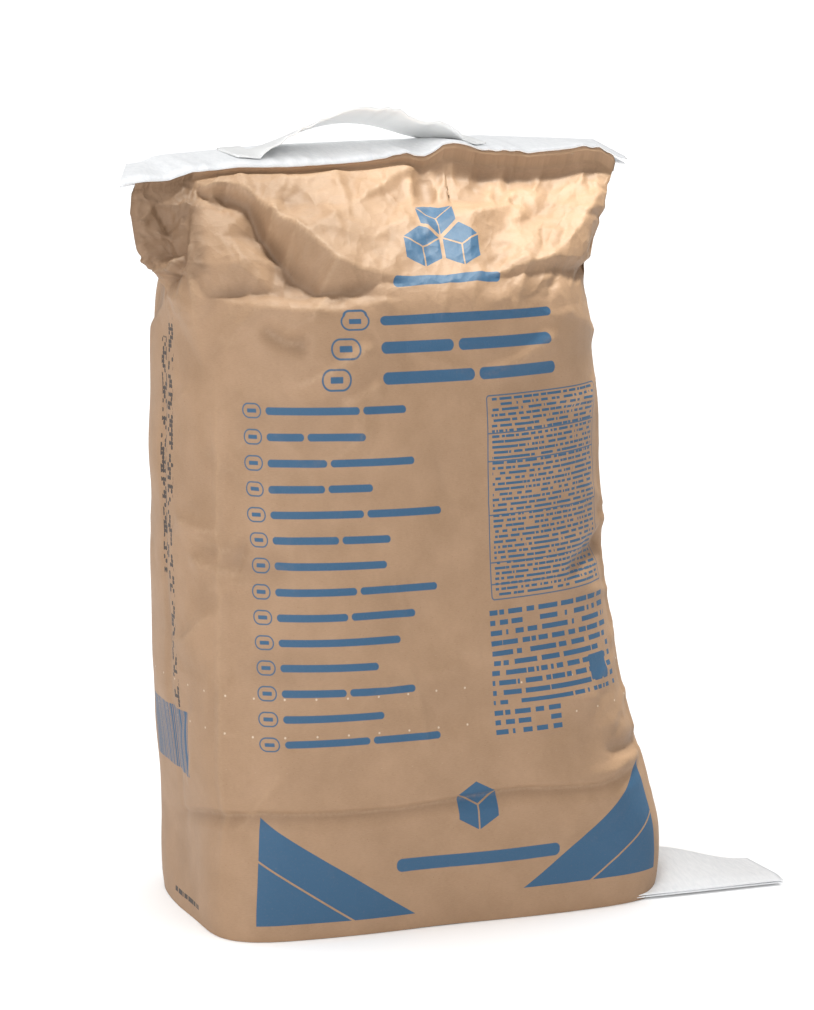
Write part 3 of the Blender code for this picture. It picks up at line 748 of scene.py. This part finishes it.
def kraft_paper(settings):
    """Unbleached kraft sack paper, machine-glazed on one side and printed in one blue ink.

    It gives the eye a warm brown of long wood fibres, a soft cloudiness where the pulp lies thicker, pale
    scuffed lines along every fold, and almost no gloss.
    """
    made, tree, shader = new_material("kraft_sack_paper")
    flat = node(tree, "ShaderNodeUVMap", uv_map="paper")
    place = node(tree, "ShaderNodeVectorMath", {0: flat, "Scale": 1000.0}, operation="SCALE")
    # Clouds of pulp about 25 mm across, and fibres about 2 mm long and 0.4 mm wide.
    clouds = node(tree, "ShaderNodeTexNoise", {"Vector": place, "Scale": 1 / 25, "Detail": 4.0, "Roughness": 0.6})
    long_way = node(tree, "ShaderNodeVectorMath", {0: place, 1: (0.45, 2.2, 1.0)}, operation="MULTIPLY")
    fibres = node(tree, "ShaderNodeTexNoise", {"Vector": long_way, "Scale": 1.0, "Detail": 3.0, "Roughness": 0.7})
    cloud_tone = node(
        tree, "ShaderNodeMapRange", {"Value": clouds, "From Min": 0.3, "From Max": 0.7, "To Min": 0.0, "To Max": 1.0}
    )
    paper = node(
        tree,
        "ShaderNodeMix",
        {"Factor": cloud_tone, "A": srgb(settings.kraft_dark), "B": srgb(settings.kraft_light)},
        data_type="RGBA",
    )
    fibre_tone = node(
        tree, "ShaderNodeMapRange", {"Value": fibres, "From Min": 0.3, "From Max": 0.7, "To Min": 0.93, "To Max": 1.07}
    )
    paper = node(tree, "ShaderNodeVectorMath", {0: paper, "Scale": fibre_tone}, operation="SCALE")
    # Dark specks of bark, a few to a square centimetre.
    specks = node(tree, "ShaderNodeTexVoronoi", {"Vector": place, "Scale": 0.28})
    speck = node(
        tree,
        "ShaderNodeMapRange",
        {"Value": specks.outputs["Distance"], "From Min": 0.05, "From Max": 0.10, "To Min": 0.35, "To Max": 0.0},
    )
    paper = node(
        tree, "ShaderNodeMix", {"Factor": speck, "A": paper, "B": srgb("#7a5a3e")}, data_type="RGBA"
    )
    # Rows of vent pricks low on the sack, each a pale spot under a millimetre across.
    pricks = node(tree, "ShaderNodeVectorMath", {0: place, 1: (0.0, 117.0, 0.0)}, operation="SUBTRACT")
    rows = patch(tree, pricks, (0, 0), (370, 28), 0.2)
    pricks = node(tree, "ShaderNodeVectorMath", {0: pricks, 1: (17.0, 19.0, 1.0)}, operation="DIVIDE")
    pricks = node(tree, "ShaderNodeVectorMath", {0: pricks}, operation="FRACTION")
    pricks = node(tree, "ShaderNodeVectorMath", {0: pricks, 1: (0.5, 0.5, 0.0)}, operation="SUBTRACT")
    pricks = node(tree, "ShaderNodeVectorMath", {0: pricks, 1: (17.0, 19.0, 0.0)}, operation="MULTIPLY")
    pricks = node(tree, "ShaderNodeVectorMath", {0: pricks}, operation="LENGTH")
    limits = {"Value": pricks, "From Min": 0.4, "From Max": 0.7, "To Min": 0.55, "To Max": 0.0}
    pricks = product(tree, node(tree, "ShaderNodeMapRange", limits), rows)
    paper = node(
        tree, "ShaderNodeMix", {"Factor": pricks, "A": paper, "B": srgb("#e2d2bd")}, data_type="RGBA"
    )
    # Worn fold lines, scuffed to the pale core of the sheet.
    worn = node(tree, "ShaderNodeAttribute", attribute_name="worn")
    scuff = node(tree, "ShaderNodeTexNoise", {"Vector": place, "Scale": 0.5, "Detail": 3.0})
    scuff = node(
        tree, "ShaderNodeMapRange", {"Value": scuff, "From Min": 0.35, "From Max": 0.65, "To Min": 0.2, "To Max": 1.0}
    )
    scuff = product(tree, worn.outputs["Fac"], scuff)
    scuff = node(tree, "ShaderNodeMath", {0: scuff, 1: settings.wear}, operation="MULTIPLY")
    paper = node(
        tree, "ShaderNodeMix", {"Factor": scuff, "A": paper, "B": srgb(settings.kraft_worn)}, data_type="RGBA"
    )
    # Painted shade: the left ear and the hollows between the folds are darkened towards a deep brown, standing in for
    # the shade there.
    handled = node(tree, "ShaderNodeAttribute", attribute_name="handled")
    handled = node(tree, "ShaderNodeMath", {0: handled.outputs["Fac"], 1: 0.45}, operation="MULTIPLY")
    paper = node(
        tree, "ShaderNodeMix", {"Factor": handled, "A": paper, "B": srgb("#5a4433")}, data_type="RGBA"
    )
    # Both faces carry the same print: the back's middle line comes round to the front's.
    parts = node(tree, "ShaderNodeSeparateXYZ", {0: place})
    half = 500 * (FACE_WIDTH + GUSSET_WIDTH)
    wrapped = node(tree, "ShaderNodeMath", {0: parts.outputs[0], 1: half, 2: -half}, operation="WRAP")
    face = node(tree, "ShaderNodeCombineXYZ", {0: wrapped, 1: parts.outputs[1]})
    face_ink = front_print(tree, face)
    stripes, dots = left_side_marks(tree, place)
    ink = together(tree, [face_ink, stripes])
    # The ink sinks in unevenly and is rubbed off where the folds are worn.
    rub = node(tree, "ShaderNodeTexNoise", {"Vector": place, "Scale": 0.8, "Detail": 4.0, "Roughness": 0.7})
    rub = node(
        tree, "ShaderNodeMapRange", {"Value": rub, "From Min": 0.25, "From Max": 0.45, "To Min": 0.88, "To Max": 0.98}
    )
    ink = product(tree, ink, rub)
    kept = node(tree, "ShaderNodeMath", {0: 1.0, 1: scuff}, operation="SUBTRACT")
    ink = product(tree, ink, kept)
    colour = node(
        tree, "ShaderNodeMix", {"Factor": ink, "A": paper, "B": srgb(settings.ink)}, data_type="RGBA"
    )
    dots = node(tree, "ShaderNodeMath", {0: dots, 1: 0.9}, operation="MULTIPLY")
    colour = node(
        tree, "ShaderNodeMix", {"Factor": dots, "A": colour, "B": srgb("#2c2a2c")}, data_type="RGBA"
    )
    tree.links.new(next(s for s in colour.outputs if s.enabled), shader.inputs["Base Color"])
    # Fibre relief of a few hundredths of a millimetre, drawn a little deeper so that it shows.
    bumps = node(tree, "ShaderNodeTexNoise", {"Vector": place, "Scale": 0.35, "Detail": 6.0, "Roughness": 0.65})
    # Small crumples: facets about 24 mm across with sharp edges, and half-size ones among them.
    warp = node(tree, "ShaderNodeTexNoise", {"Vector": place, "Scale": 1 / 18, "Detail": 2.0})
    warp = node(tree, "ShaderNodeVectorMath", {0: warp.outputs["Color"], "Scale": 14.0}, operation="SCALE")
    bent = node(tree, "ShaderNodeVectorMath", {0: place, 1: warp}, operation="ADD")
    crumples = node(tree, "ShaderNodeTexVoronoi", {"Vector": bent, "Scale": 1 / 24, "Detail": 1.0, "Roughness": 0.4})
    amount = node(tree, "ShaderNodeAttribute", attribute_name="crumpled")
    crumples = product(tree, crumples.outputs["Distance"], amount.outputs["Fac"])
    crumples = node(tree, "ShaderNodeBump", {"Strength": 1.0, "Distance": 0.003, "Height": crumples})
    grain = node(
        tree, "ShaderNodeBump", {"Strength": 0.35, "Distance": 0.0006, "Height": bumps, "Normal": crumples}
    )
    fine = node(tree, "ShaderNodeBump", {"Strength": 0.25, "Distance": 0.0002, "Height": fibres, "Normal": grain})
    tree.links.new(fine.outputs["Normal"], shader.inputs["Normal"])
    shader.inputs["Roughness"].default_value = 0.6
    shader.inputs["IOR"].default_value = 1.5
    shader.inputs["Specular IOR Level"].default_value = 0.4
    return made


def crepe_tape(settings):
    """Bleached crepe paper tape, pressed over the seam while damp.

    It gives the eye a matt white with fine wrinkles across its length, and painted shade, a little grey, in their
    hollows.
    """
    made, tree, shader = new_material("bleached_crepe_tape")
    where = node(tree, "ShaderNodeTexCoord")
    # Crepe wrinkles about 1.5 mm apart, running across the tape.
    spot = node(tree, "ShaderNodeVectorMath", {0: where.outputs["Object"], 1: (650, 160, 160)}, operation="MULTIPLY")
    wrinkles = node(tree, "ShaderNodeTexNoise", {"Vector": spot, "Scale": 1.0, "Detail": 3.0, "Distortion": 0.5})
    wide = node(
        tree, "ShaderNodeTexNoise", {"Vector": where.outputs["Object"], "Scale": 60.0, "Detail": 3.0}
    )
    tone = node(
        tree, "ShaderNodeMapRange", {"Value": wrinkles, "From Min": 0.3, "From Max": 0.7, "To Min": 0.0, "To Max": 1.0}
    )
    # Painted shade: where the wrinkles dip, the white is mixed towards the grey of tape_shade.
    colour = node(
        tree,
        "ShaderNodeMix",
        {"Factor": tone, "A": srgb(settings.tape_shade), "B": srgb(settings.tape)},
        data_type="RGBA",
    )
    tree.links.new(next(s for s in colour.outputs if s.enabled), shader.inputs["Base Color"])
    bumps = node(tree, "ShaderNodeBump", {"Strength": 0.6, "Distance": 0.0004, "Height": wrinkles})
    bumps = node(tree, "ShaderNodeBump", {"Strength": 0.5, "Distance": 0.0015, "Height": wide, "Normal": bumps})
    tree.links.new(bumps.outputs["Normal"], shader.inputs["Normal"])
    shader.inputs["Roughness"].default_value = 0.75
    shader.inputs["IOR"].default_value = 1.45
    shader.inputs["Specular IOR Level"].default_value = 0.3
    return made


def strap_paper(settings):
    """Smooth bleached paper strap, folded flat and calendered.

    It gives the eye an even soft white with faint lengthwise fibres and a slight sheen.
    """
    made, tree, shader = new_material("bleached_paper_strap")
    where = node(tree, "ShaderNodeTexCoord")
    # Fibres about 3 mm long, running along the strap.
    spot = node(tree, "ShaderNodeVectorMath", {0: where.outputs["Object"], 1: (300, 1400, 1400)}, operation="MULTIPLY")
    fibres = node(tree, "ShaderNodeTexNoise", {"Vector": spot, "Scale": 1.0, "Detail": 3.0})
    colour = node(
        tree,
        "ShaderNodeMix",
        {"Factor": fibres, "A": srgb(settings.tape_shade), "B": srgb(settings.strap)},
        data_type="RGBA",
    )
    tree.links.new(next(s for s in colour.outputs if s.enabled), shader.inputs["Base Color"])
    bumps = node(tree, "ShaderNodeBump", {"Strength": 0.2, "Distance": 0.0002, "Height": fibres})
    tree.links.new(bumps.outputs["Normal"], shader.inputs["Normal"])
    shader.inputs["Roughness"].default_value = 0.5
    shader.inputs["IOR"].default_value = 1.45
    shader.inputs["Subsurface Weight"].default_value = 0.15
    shader.inputs["Subsurface Radius"].default_value = (0.002, 0.002, 0.002)
    return made


# ---------------------------------------------------------------- settings


class SackSettings(bpy.types.PropertyGroup):
    """Sizes of the mesh and colours of the paper, ink, tapes and strap."""

    mesh_step: FloatProperty(name="Mesh step", description="Spacing of the skin's points", default=0.0014, min=0.001, unit="LENGTH")
    wear: FloatProperty(name="Wear", description="How pale the worn folds are", default=0.35, min=0.0, max=1.0, subtype="FACTOR")
    kraft_light: StringProperty(name="Kraft, thin", description="sRGB hex colour of the paper where the pulp is thin", default="#a18266")
    kraft_dark: StringProperty(name="Kraft, thick", description="sRGB hex colour of the paper where the pulp is thick", default="#95775b")
    kraft_worn: StringProperty(name="Worn kraft", description="sRGB hex colour of scuffed folds", default="#c4a788")
    ink: StringProperty(name="Ink", description="sRGB hex colour of the blue ink on kraft", default="#2b5473")
    tape: StringProperty(name="Tape", description="sRGB hex colour of the crepe tape", default="#f6f7f8")
    # tape_shade is painted shade for the tape's wrinkle hollows. The strap uses it for its darker fibres.
    tape_shade: StringProperty(name="Tape hollows", description="sRGB hex colour in the tape's wrinkles", default="#eceef0")
    strap: StringProperty(name="Strap", description="sRGB hex colour of the strap", default="#f1f0ec")


class StageSettings(bpy.types.PropertyGroup):
    """Camera and light of the studio."""

    azimuth: FloatProperty(name="Azimuth", description="Angle of the camera round the sack, from the front", default=radians(-23), subtype="ANGLE")
    distance: FloatProperty(name="Distance", description="Distance of the camera from the sack's axis", default=1.636, unit="LENGTH")
    height: FloatProperty(name="Height", description="Height of the camera", default=0.4935, unit="LENGTH")
    pitch: FloatProperty(name="Pitch", description="How far the camera looks down", default=radians(10), subtype="ANGLE")
    lens: FloatProperty(name="Lens", description="Focal length in millimetres", default=114.06, min=10)
    key_power: FloatProperty(name="Key light", description="Power of the soft light at the right", default=240.0, min=0, unit="POWER")
    fill_power: FloatProperty(name="Fill light", description="Power of the soft light at the left", default=19.0, min=0, unit="POWER")
    floor_power: FloatProperty(name="Floor light", description="Strength of the light on the floor alone", default=1.4, min=0)
    surround: FloatProperty(name="Surround", description="Strength of the white tent at the horizon", default=0.45, min=0)
    overhead: FloatProperty(name="Overhead", description="Strength of the white tent overhead", default=1.3, min=0)


# ---------------------------------------------------------------- pieces


def strip(name, section, xs, place, finish, around=None):
    """A solid run along X: section is a closed loop of (distance along the seam, offset from its middle)."""
    section = np.array(section, float)
    points = []
    for x in xs:
        y, z = place(x, section[:, 0], section[:, 1])
        points.append(np.stack([np.full(len(section), x), y, z], axis=1))
    count = len(section)
    faces = grid_faces(len(xs), count).tolist()
    faces += [list(range(count))[::-1], [(len(xs) - 1) * count + k for k in range(count)]]
    return np.concatenate(points), faces


class SACK_OT_paper(bpy.types.Operator):
    """Build the sack's paper skin with its folds and print"""

    bl_idname = "sack.paper"
    bl_label = "Paper Skin"

    def execute(self, context):
        settings = context.scene.sack_settings
        step = settings.mesh_step
        tube = Tube(step, step * 1.4, step * 2.4)
        # The rows lie closer together at the crease round the foot.
        low, near, high = step * 1.85, step * 0.93, step * 1.6
        heights = [np.arange(0.004, 0.054, low), np.arange(0.054, 0.080, near), np.arange(0.080, SHOULDER_Z, high)]
        heights = np.concatenate([[0.0002, 0.001, 0.0025], *heights])
        shares = np.linspace(0, 1, round(GABLE_LENGTH / step) + 1)
        rings = np.concatenate([tube.body_rings(heights), tube.gable_rings(shares)])
        paper = np.concatenate([heights, SHOULDER_Z + shares * GABLE_LENGTH])
        # Filled paper has no sharp bend at the shoulder.
        eased = rings.copy()
        for _ in range(60):
            eased[1:-1] = (eased[:-2] + 2 * eased[1:-1] + eased[2:]) / 4
        rings += (eased - rings) * smooth_step(1 - abs(paper - SHOULDER_Z) / 0.045)[:, None, None]
        height, worn, hollow = relief(tube, paper)
        crumpled, handled = self.treatment(tube, paper)
        # The painted shade darkens the hollows as well as the left ear.
        handled = np.maximum(handled, hollow)
        round_way = np.roll(rings, -1, axis=1) - np.roll(rings, 1, axis=1)
        normal = np.cross(round_way, np.gradient(rings, axis=0))
        normal /= np.linalg.norm(normal, axis=2, keepdims=True)
        rings = rings + normal * height[:, :, None]
        rings[:, :, 2] = rings[:, :, 2].clip(min=0.0002)
        bend = SEAM_RADIUS * radians(90 - SEAM_RISE)
        distances = np.concatenate([np.linspace(0, bend, 5), bend + np.linspace(0.003, SEAM_LENGTH, 10)])
        rings = np.concatenate([rings, tube.seam_rings(distances)])
        paper = np.concatenate([paper, SHOULDER_Z + GABLE_LENGTH + distances])
        more = ((0, len(distances)), (0, 0))
        worn, crumpled, handled = (np.pad(grid, more, mode="edge") for grid in (worn, crumpled, handled))
        rows, columns = len(rings), tube.columns
        vertices = [rings.reshape(-1, 3)]
        faces = grid_faces(rows, columns).tolist()
        # Amounts at each point: worn, crumpled, and painted shade.
        wear = [np.stack([worn, crumpled, handled], axis=-1).reshape(-1, 3)]
        flat = [np.stack(np.broadcast_arrays(tube.around[None, :], paper[:, None]), axis=-1).reshape(-1, 2)]
        self.bottom(tube, rings[0], vertices, faces, wear, flat)
        self.lower_seam(vertices, faces, wear, flat)
        flat = np.concatenate(flat)
        girth = 2 * (FACE_WIDTH + GUSSET_WIDTH)

        def coordinates(mesh, loops):
            uv = flat[loops]
            # A quad that spans the start of the count takes its far corners from the next turn.
            sides = uv[: 4 * self.quads].reshape(-1, 4, 2)
            low = sides[:, :, 0].min(axis=1, keepdims=True)
            sides[:, :, 0] -= girth * (sides[:, :, 0] - low > girth / 2)
            return uv

        self.quads = (rows - 1) * columns
        sack = mesh_object(
            "sack_paper",
            np.concatenate(vertices),
            faces,
            kraft_paper(settings),
            list(zip(("worn", "crumpled", "handled"), np.concatenate(wear).T)),
            coordinates,
        )
        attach(sack, "root")
        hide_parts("sack")
        return {"FINISHED"}

    def treatment(self, tube, paper):
        """How crumpled the paper is at each place, and how much painted shade darkens the left ear."""
        p, v = tube.around[None, :] * 1000, paper[:, None] * 1000
        crumpled = 0.12 + 0.7 * smooth_step((v - 300) / 40) + 0 * p
        left = smooth_step((-128 - p) / 10) * smooth_step((p + 260) / 20)
        crumpled += 0.3 * left * smooth_step((v - 300) / 40)
        return crumpled, left * smooth_step((v - 325) / 30)

    def bottom(self, tube, ring, vertices, faces, wear, flat):
        """The flat bottom, as strips between the columns that lie across from each other."""
        first = tube.columns - tube.gusset_columns // 2
        strips, cells = tube.columns // 2, 24
        offset = sum(len(part) for part in vertices)
        near = (first + np.arange(strips + 1)) % tube.columns
        far = (first - np.arange(strips + 1)) % tube.columns
        share = np.linspace(0, 1, cells + 1)[None, :, None]
        sheet = ring[near][:, None, :] * (1 - share) + ring[far][:, None, :] * share
        sheet[:, 1:-1, 2] = foot_recess(sheet[:, 1:-1, 0], sheet[:, 1:-1, 1])
        sheet = sheet.reshape(-1, 3)
        vertices.append(sheet)
        faces += (grid_faces(strips + 1, cells + 1, closed=False) + offset).tolist()
        wear.append(np.tile((0.15, 0.1, 0.0), (len(sheet), 1)))
        flat.append(np.stack([sheet[:, 0] * 0.3 + 2.0, sheet[:, 1]], axis=1))

    def lower_seam(self, vertices, faces, wear, flat):
        """The pressed layers of paper between the two layers of the lower tape."""
        offset = sum(len(part) for part in vertices)
        stops, half = np.linspace(0.006, SEAM_LENGTH, 12), 0.0008
        section = [(s, half) for s in stops] + [(s, -half) for s in stops[::-1]]
        xs = np.arange(FOOT_SEAM_END - FACE_WIDTH, FOOT_SEAM_END + 1e-6, 0.003)
        points, quads = strip("lower_seam", section, xs, along_foot, None)
        vertices.append(points)
        faces += [[index + offset for index in face] for face in quads]
        # The pressed layers inside the tape get some painted shade, darker paper standing in for the shade in the
        # tape's gap.
        wear.append(np.tile((0.1, 0.1, 0.3), (len(points), 1)))
        flat.append(np.stack([points[:, 0] * 0.3 + 2.0, points[:, 1]], axis=1))


def along_foot(x, distance, offset):
    y, z = foot_seam_frame(x, distance)
    return y, z + offset


def along_top(x, distance, offset):
    y, z, facing_y, facing_z = top_seam_frame(x, distance)
    return y + facing_y * offset, z + facing_z * offset


def tape_section(inner, start, length):
    """Outline of a tape folded round a seam: two layers joined by a round bend past the seam's edge."""
    outer, turn = inner + TAPE, length + GAP
    stops = np.arange(start, turn, 0.0025)
    angles = np.linspace(pi / 2, -pi / 2, 9)[1:-1]
    outside = [(s, outer) for s in stops]
    outside += [(turn - outer * 0.4 + outer * cos(a), outer * sin(a)) for a in angles]
    outside += [(s, -outer) for s in stops[::-1]]
    inside = [(s, -inner) for s in stops]
    inside += [(turn - outer * 0.4 + inner * cos(a), -inner * sin(a)) for a in angles]
    inside += [(s, inner) for s in stops[::-1]]
    return outside + inside


class SACK_OT_top_tape(bpy.types.Operator):
    """Build the crepe tape folded round the upper seam"""

    bl_idname = "sack.top_tape"
    bl_label = "Top Tape"

    def execute(self, context):
        bend = SEAM_RADIUS * radians(90 - SEAM_RISE)
        section = tape_section(SEAM_HALF + GAP, 0.6 * bend, bend + SEAM_LENGTH)
        xs = np.arange(SEAM_LEFT - TAPE_OVERHANG, SEAM_RIGHT + TAPE_OVERHANG + 1e-6, 0.002)
        finish = crepe_tape(context.scene.sack_settings)

        def along_fold(x, distance, offset):
            # It reaches further down the front at the left.
            more = 0.5 * bend * smooth_step((0.005 - x) / 0.03) * np.clip(1 - distance / (2 * bend), 0, 1)
            return along_top(x, distance - more, offset)

        points, faces = strip("tape", section, xs, along_fold, finish)
        points[:, 0] = askew(points[:, 0], np.tile(np.array(section)[:, 0], len(xs)))
        tape = mesh_object("top_crepe_tape", points, faces, finish)
        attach(tape, "root")
        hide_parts("top_tape")
        return {"FINISHED"}


class SACK_OT_bottom_tape(bpy.types.Operator):
    """Build the crepe tape folded round the lower seam"""

    bl_idname = "sack.bottom_tape"
    bl_label = "Bottom Tape"

    def execute(self, context):
        section = np.array(tape_section(SEAM_HALF + GAP, 0.0, SEAM_LENGTH))
        # Its open front edge is pressed together.
        section[:, 1] *= 0.35 + 0.65 * smooth_step(section[:, 0] / 0.008)
        start = FOOT_SEAM_END - FACE_WIDTH - TAPE_OVERHANG
        xs = np.arange(start, FOOT_SEAM_END + TAPE_OVERHANG + 1e-6, 0.002)
        finish = bpy.data.materials["bleached_crepe_tape"]
        tape = mesh_object("bottom_crepe_tape", *strip("tape", section, xs, along_foot, finish), finish)
        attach(tape, "root")
        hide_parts("bottom_tape")
        return {"FINISHED"}


class SACK_OT_strap(bpy.types.Operator):
    """Build the carrying strap glued to the top tape"""

    bl_idname = "sack.strap"
    bl_label = "Carrying Strap"

    def execute(self, context):
        bend = SEAM_RADIUS * radians(90 - SEAM_RISE)
        bed = SEAM_HALF + 2 * GAP + TAPE + STRAP / 2
        first = bend + TAPE_START + (SEAM_LENGTH - TAPE_START - STRAP_WIDTH) / 2
        reach, middle = STRAP_HALF_SPAN + STRAP_TAB, first + STRAP_WIDTH / 2

        def along_strap(x, distance, offset):
            share = min(abs(x - STRAP_X) / STRAP_HALF_SPAN, 0.9999)
            y, z = along_top(x, distance, bed)
            arch = cos(pi / 2 * share) ** 1.3
            # Its back edge hangs lower, so the right half shows its underside from the front.
            return y, z + STRAP_RISE * arch + offset - 0.40 * (distance - middle) * arch**0.25

        stops = np.linspace(first, first + STRAP_WIDTH, 9)
        section = [(s, STRAP / 2) for s in stops] + [(s, -STRAP / 2) for s in stops[::-1]]
        xs = np.linspace(STRAP_X - reach, STRAP_X + reach, 110)
        finish = strap_paper(context.scene.sack_settings)
        strap = mesh_object("carrying_strap", *strip("strap", section, xs, along_strap, finish), finish)
        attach(strap, "root")
        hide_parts("handle")
        return {"FINISHED"}


class SACK_OT_stage(bpy.types.Operator):
    """Set up the pale floor, the soft studio light and the camera"""

    bl_idname = "sack.stage"
    bl_label = "Stage"

    def execute(self, context):
        settings, scene = context.scene.stage_settings, context.scene
        made, tree, shader = new_material("white_paper_backdrop")
        shader.inputs["Base Color"].default_value = srgb("#f7f7f7")
        shader.inputs["Roughness"].default_value = 0.9
        shader.inputs["Specular IOR Level"].default_value = 0.1
        reach = 60.0
        corners = [(-reach, -reach, 0), (reach, -reach, 0), (reach, reach, 0), (-reach, reach, 0)]
        floor = mesh_object("floor", corners, [(0, 1, 2, 3)], made, smooth=False)

        world = bpy.data.worlds.new("white_surround")
        world.use_nodes = True
        background = world.node_tree.nodes["Background"]
        # A white tent, brightest overhead and darkest at the right.
        tree = world.node_tree
        way = node(tree, "ShaderNodeTexCoord")
        way = node(tree, "ShaderNodeSeparateXYZ", {0: way.outputs["Generated"]})
        dim = {"Value": way.outputs[0], "From Min": -1, "To Min": settings.surround, "To Max": 0.0}
        dim = node(tree, "ShaderNodeMapRange", dim)
        level = {"Value": way.outputs[2], "To Min": dim, "To Max": settings.overhead}
        level = node(tree, "ShaderNodeMapRange", level)
        # The camera itself sees it plain white.
        seen = node(tree, "ShaderNodeLightPath").outputs["Is Camera Ray"]
        level = node(tree, "ShaderNodeMath", {0: level, 1: seen}, operation="MAXIMUM")
        tree.links.new(level.outputs[0], background.inputs["Strength"])
        background.inputs["Color"].default_value = (1, 1, 1, 1)
        scene.world = world

        # The key light is kept to the top of the sack by its cone, and off the white pieces and the floor.
        key = self.aimed(bpy.data.lights.new("key_light", "SPOT"), (0.32, 0.17, 1.8), (0.06, 0, 0.34))
        self.only_on(key, "sack_paper")
        key.data.energy = settings.key_power
        key.data.shadow_soft_size = 0.15
        key.data.spot_size = radians(18)
        key.data.color = (1.0, 1.0, 0.92)
        key.data.spot_blend = 0.9
        # The floor has a light of its own, so that it is white with the rest kept dim.
        floor_light = self.aimed(bpy.data.lights.new("floor_light", "SUN"), (-0.3, -0.3, 2.5), (0, 0, 0))
        floor_light.data.energy = settings.floor_power
        floor_light.data.angle = radians(60)
        self.only_on(floor_light, "floor")
        fill = self.aimed(bpy.data.lights.new("fill_light", "AREA"), (-1.6, -1.6, 0.5), (0, 0, 0.15))
        fill.data.energy = settings.fill_power
        fill.data.shape = "DISK"
        fill.data.size = 1.2

        camera = bpy.data.objects.new("camera", bpy.data.cameras.new("camera"))
        scene.collection.objects.link(camera)
        azimuth = settings.azimuth
        camera.location = (sin(azimuth) * settings.distance, -cos(azimuth) * settings.distance, settings.height)
        camera.rotation_euler = (pi / 2 - settings.pitch, 0, azimuth)
        camera.data.sensor_width = 36
        camera.data.lens = settings.lens
        scene.camera = camera
        scene.view_settings.view_transform = "Standard"
        scene.view_settings.look = "None"
        return {"FINISHED"}

    def only_on(self, light, name):
        """Limits a light to one piece."""
        lit = bpy.data.collections.new(light.name + "_receivers")
        lit.objects.link(bpy.data.objects[name])
        light.light_linking.receiver_collection = lit

    def aimed(self, data, location, target):
        """Places a light so that it shines at the given place."""
        light = bpy.data.objects.new(data.name, data)
        light.location = location
        way = Vector(location) - Vector(target)
        light.rotation_euler = way.to_track_quat("Z", "Y").to_euler()
        bpy.context.scene.collection.objects.link(light)
        return light


class SACK_PT_panel(bpy.types.Panel):
    """Lists the sack's settings and the steps that build it"""

    bl_idname = "SACK_PT_panel"
    bl_label = "Paper Sack"
    bl_space_type = "VIEW_3D"
    bl_region_type = "UI"
    bl_category = "Sack"

    def draw(self, context):
        layout = self.layout
        for group in (context.scene.sack_settings, context.scene.stage_settings):
            box = layout.box()
            for name in type(group).__annotations__:
                box.prop(group, name)
        for step in STEPS:
            layout.operator(step.bl_idname)


STEPS = (SACK_OT_paper, SACK_OT_top_tape, SACK_OT_strap, SACK_OT_bottom_tape, SACK_OT_stage)
CLASSES = (SackSettings, StageSettings) + STEPS + (SACK_PT_panel,)


def register():
    for made in CLASSES:
        bpy.utils.register_class(made)
    bpy.types.Scene.sack_settings = PointerProperty(type=SackSettings)
    bpy.types.Scene.stage_settings = PointerProperty(type=StageSettings)


def unregister():
    del bpy.types.Scene.stage_settings
    del bpy.types.Scene.sack_settings
    for made in reversed(CLASSES):
        bpy.utils.unregister_class(made)


def main():
    register()
    bpy.ops.sack.paper()
    bpy.ops.sack.top_tape()
    bpy.ops.sack.strap()
    bpy.ops.sack.bottom_tape()
    bpy.ops.sack.stage()
    bpy.context.view_layer.update()


if __name__ == "__main__":
    main()
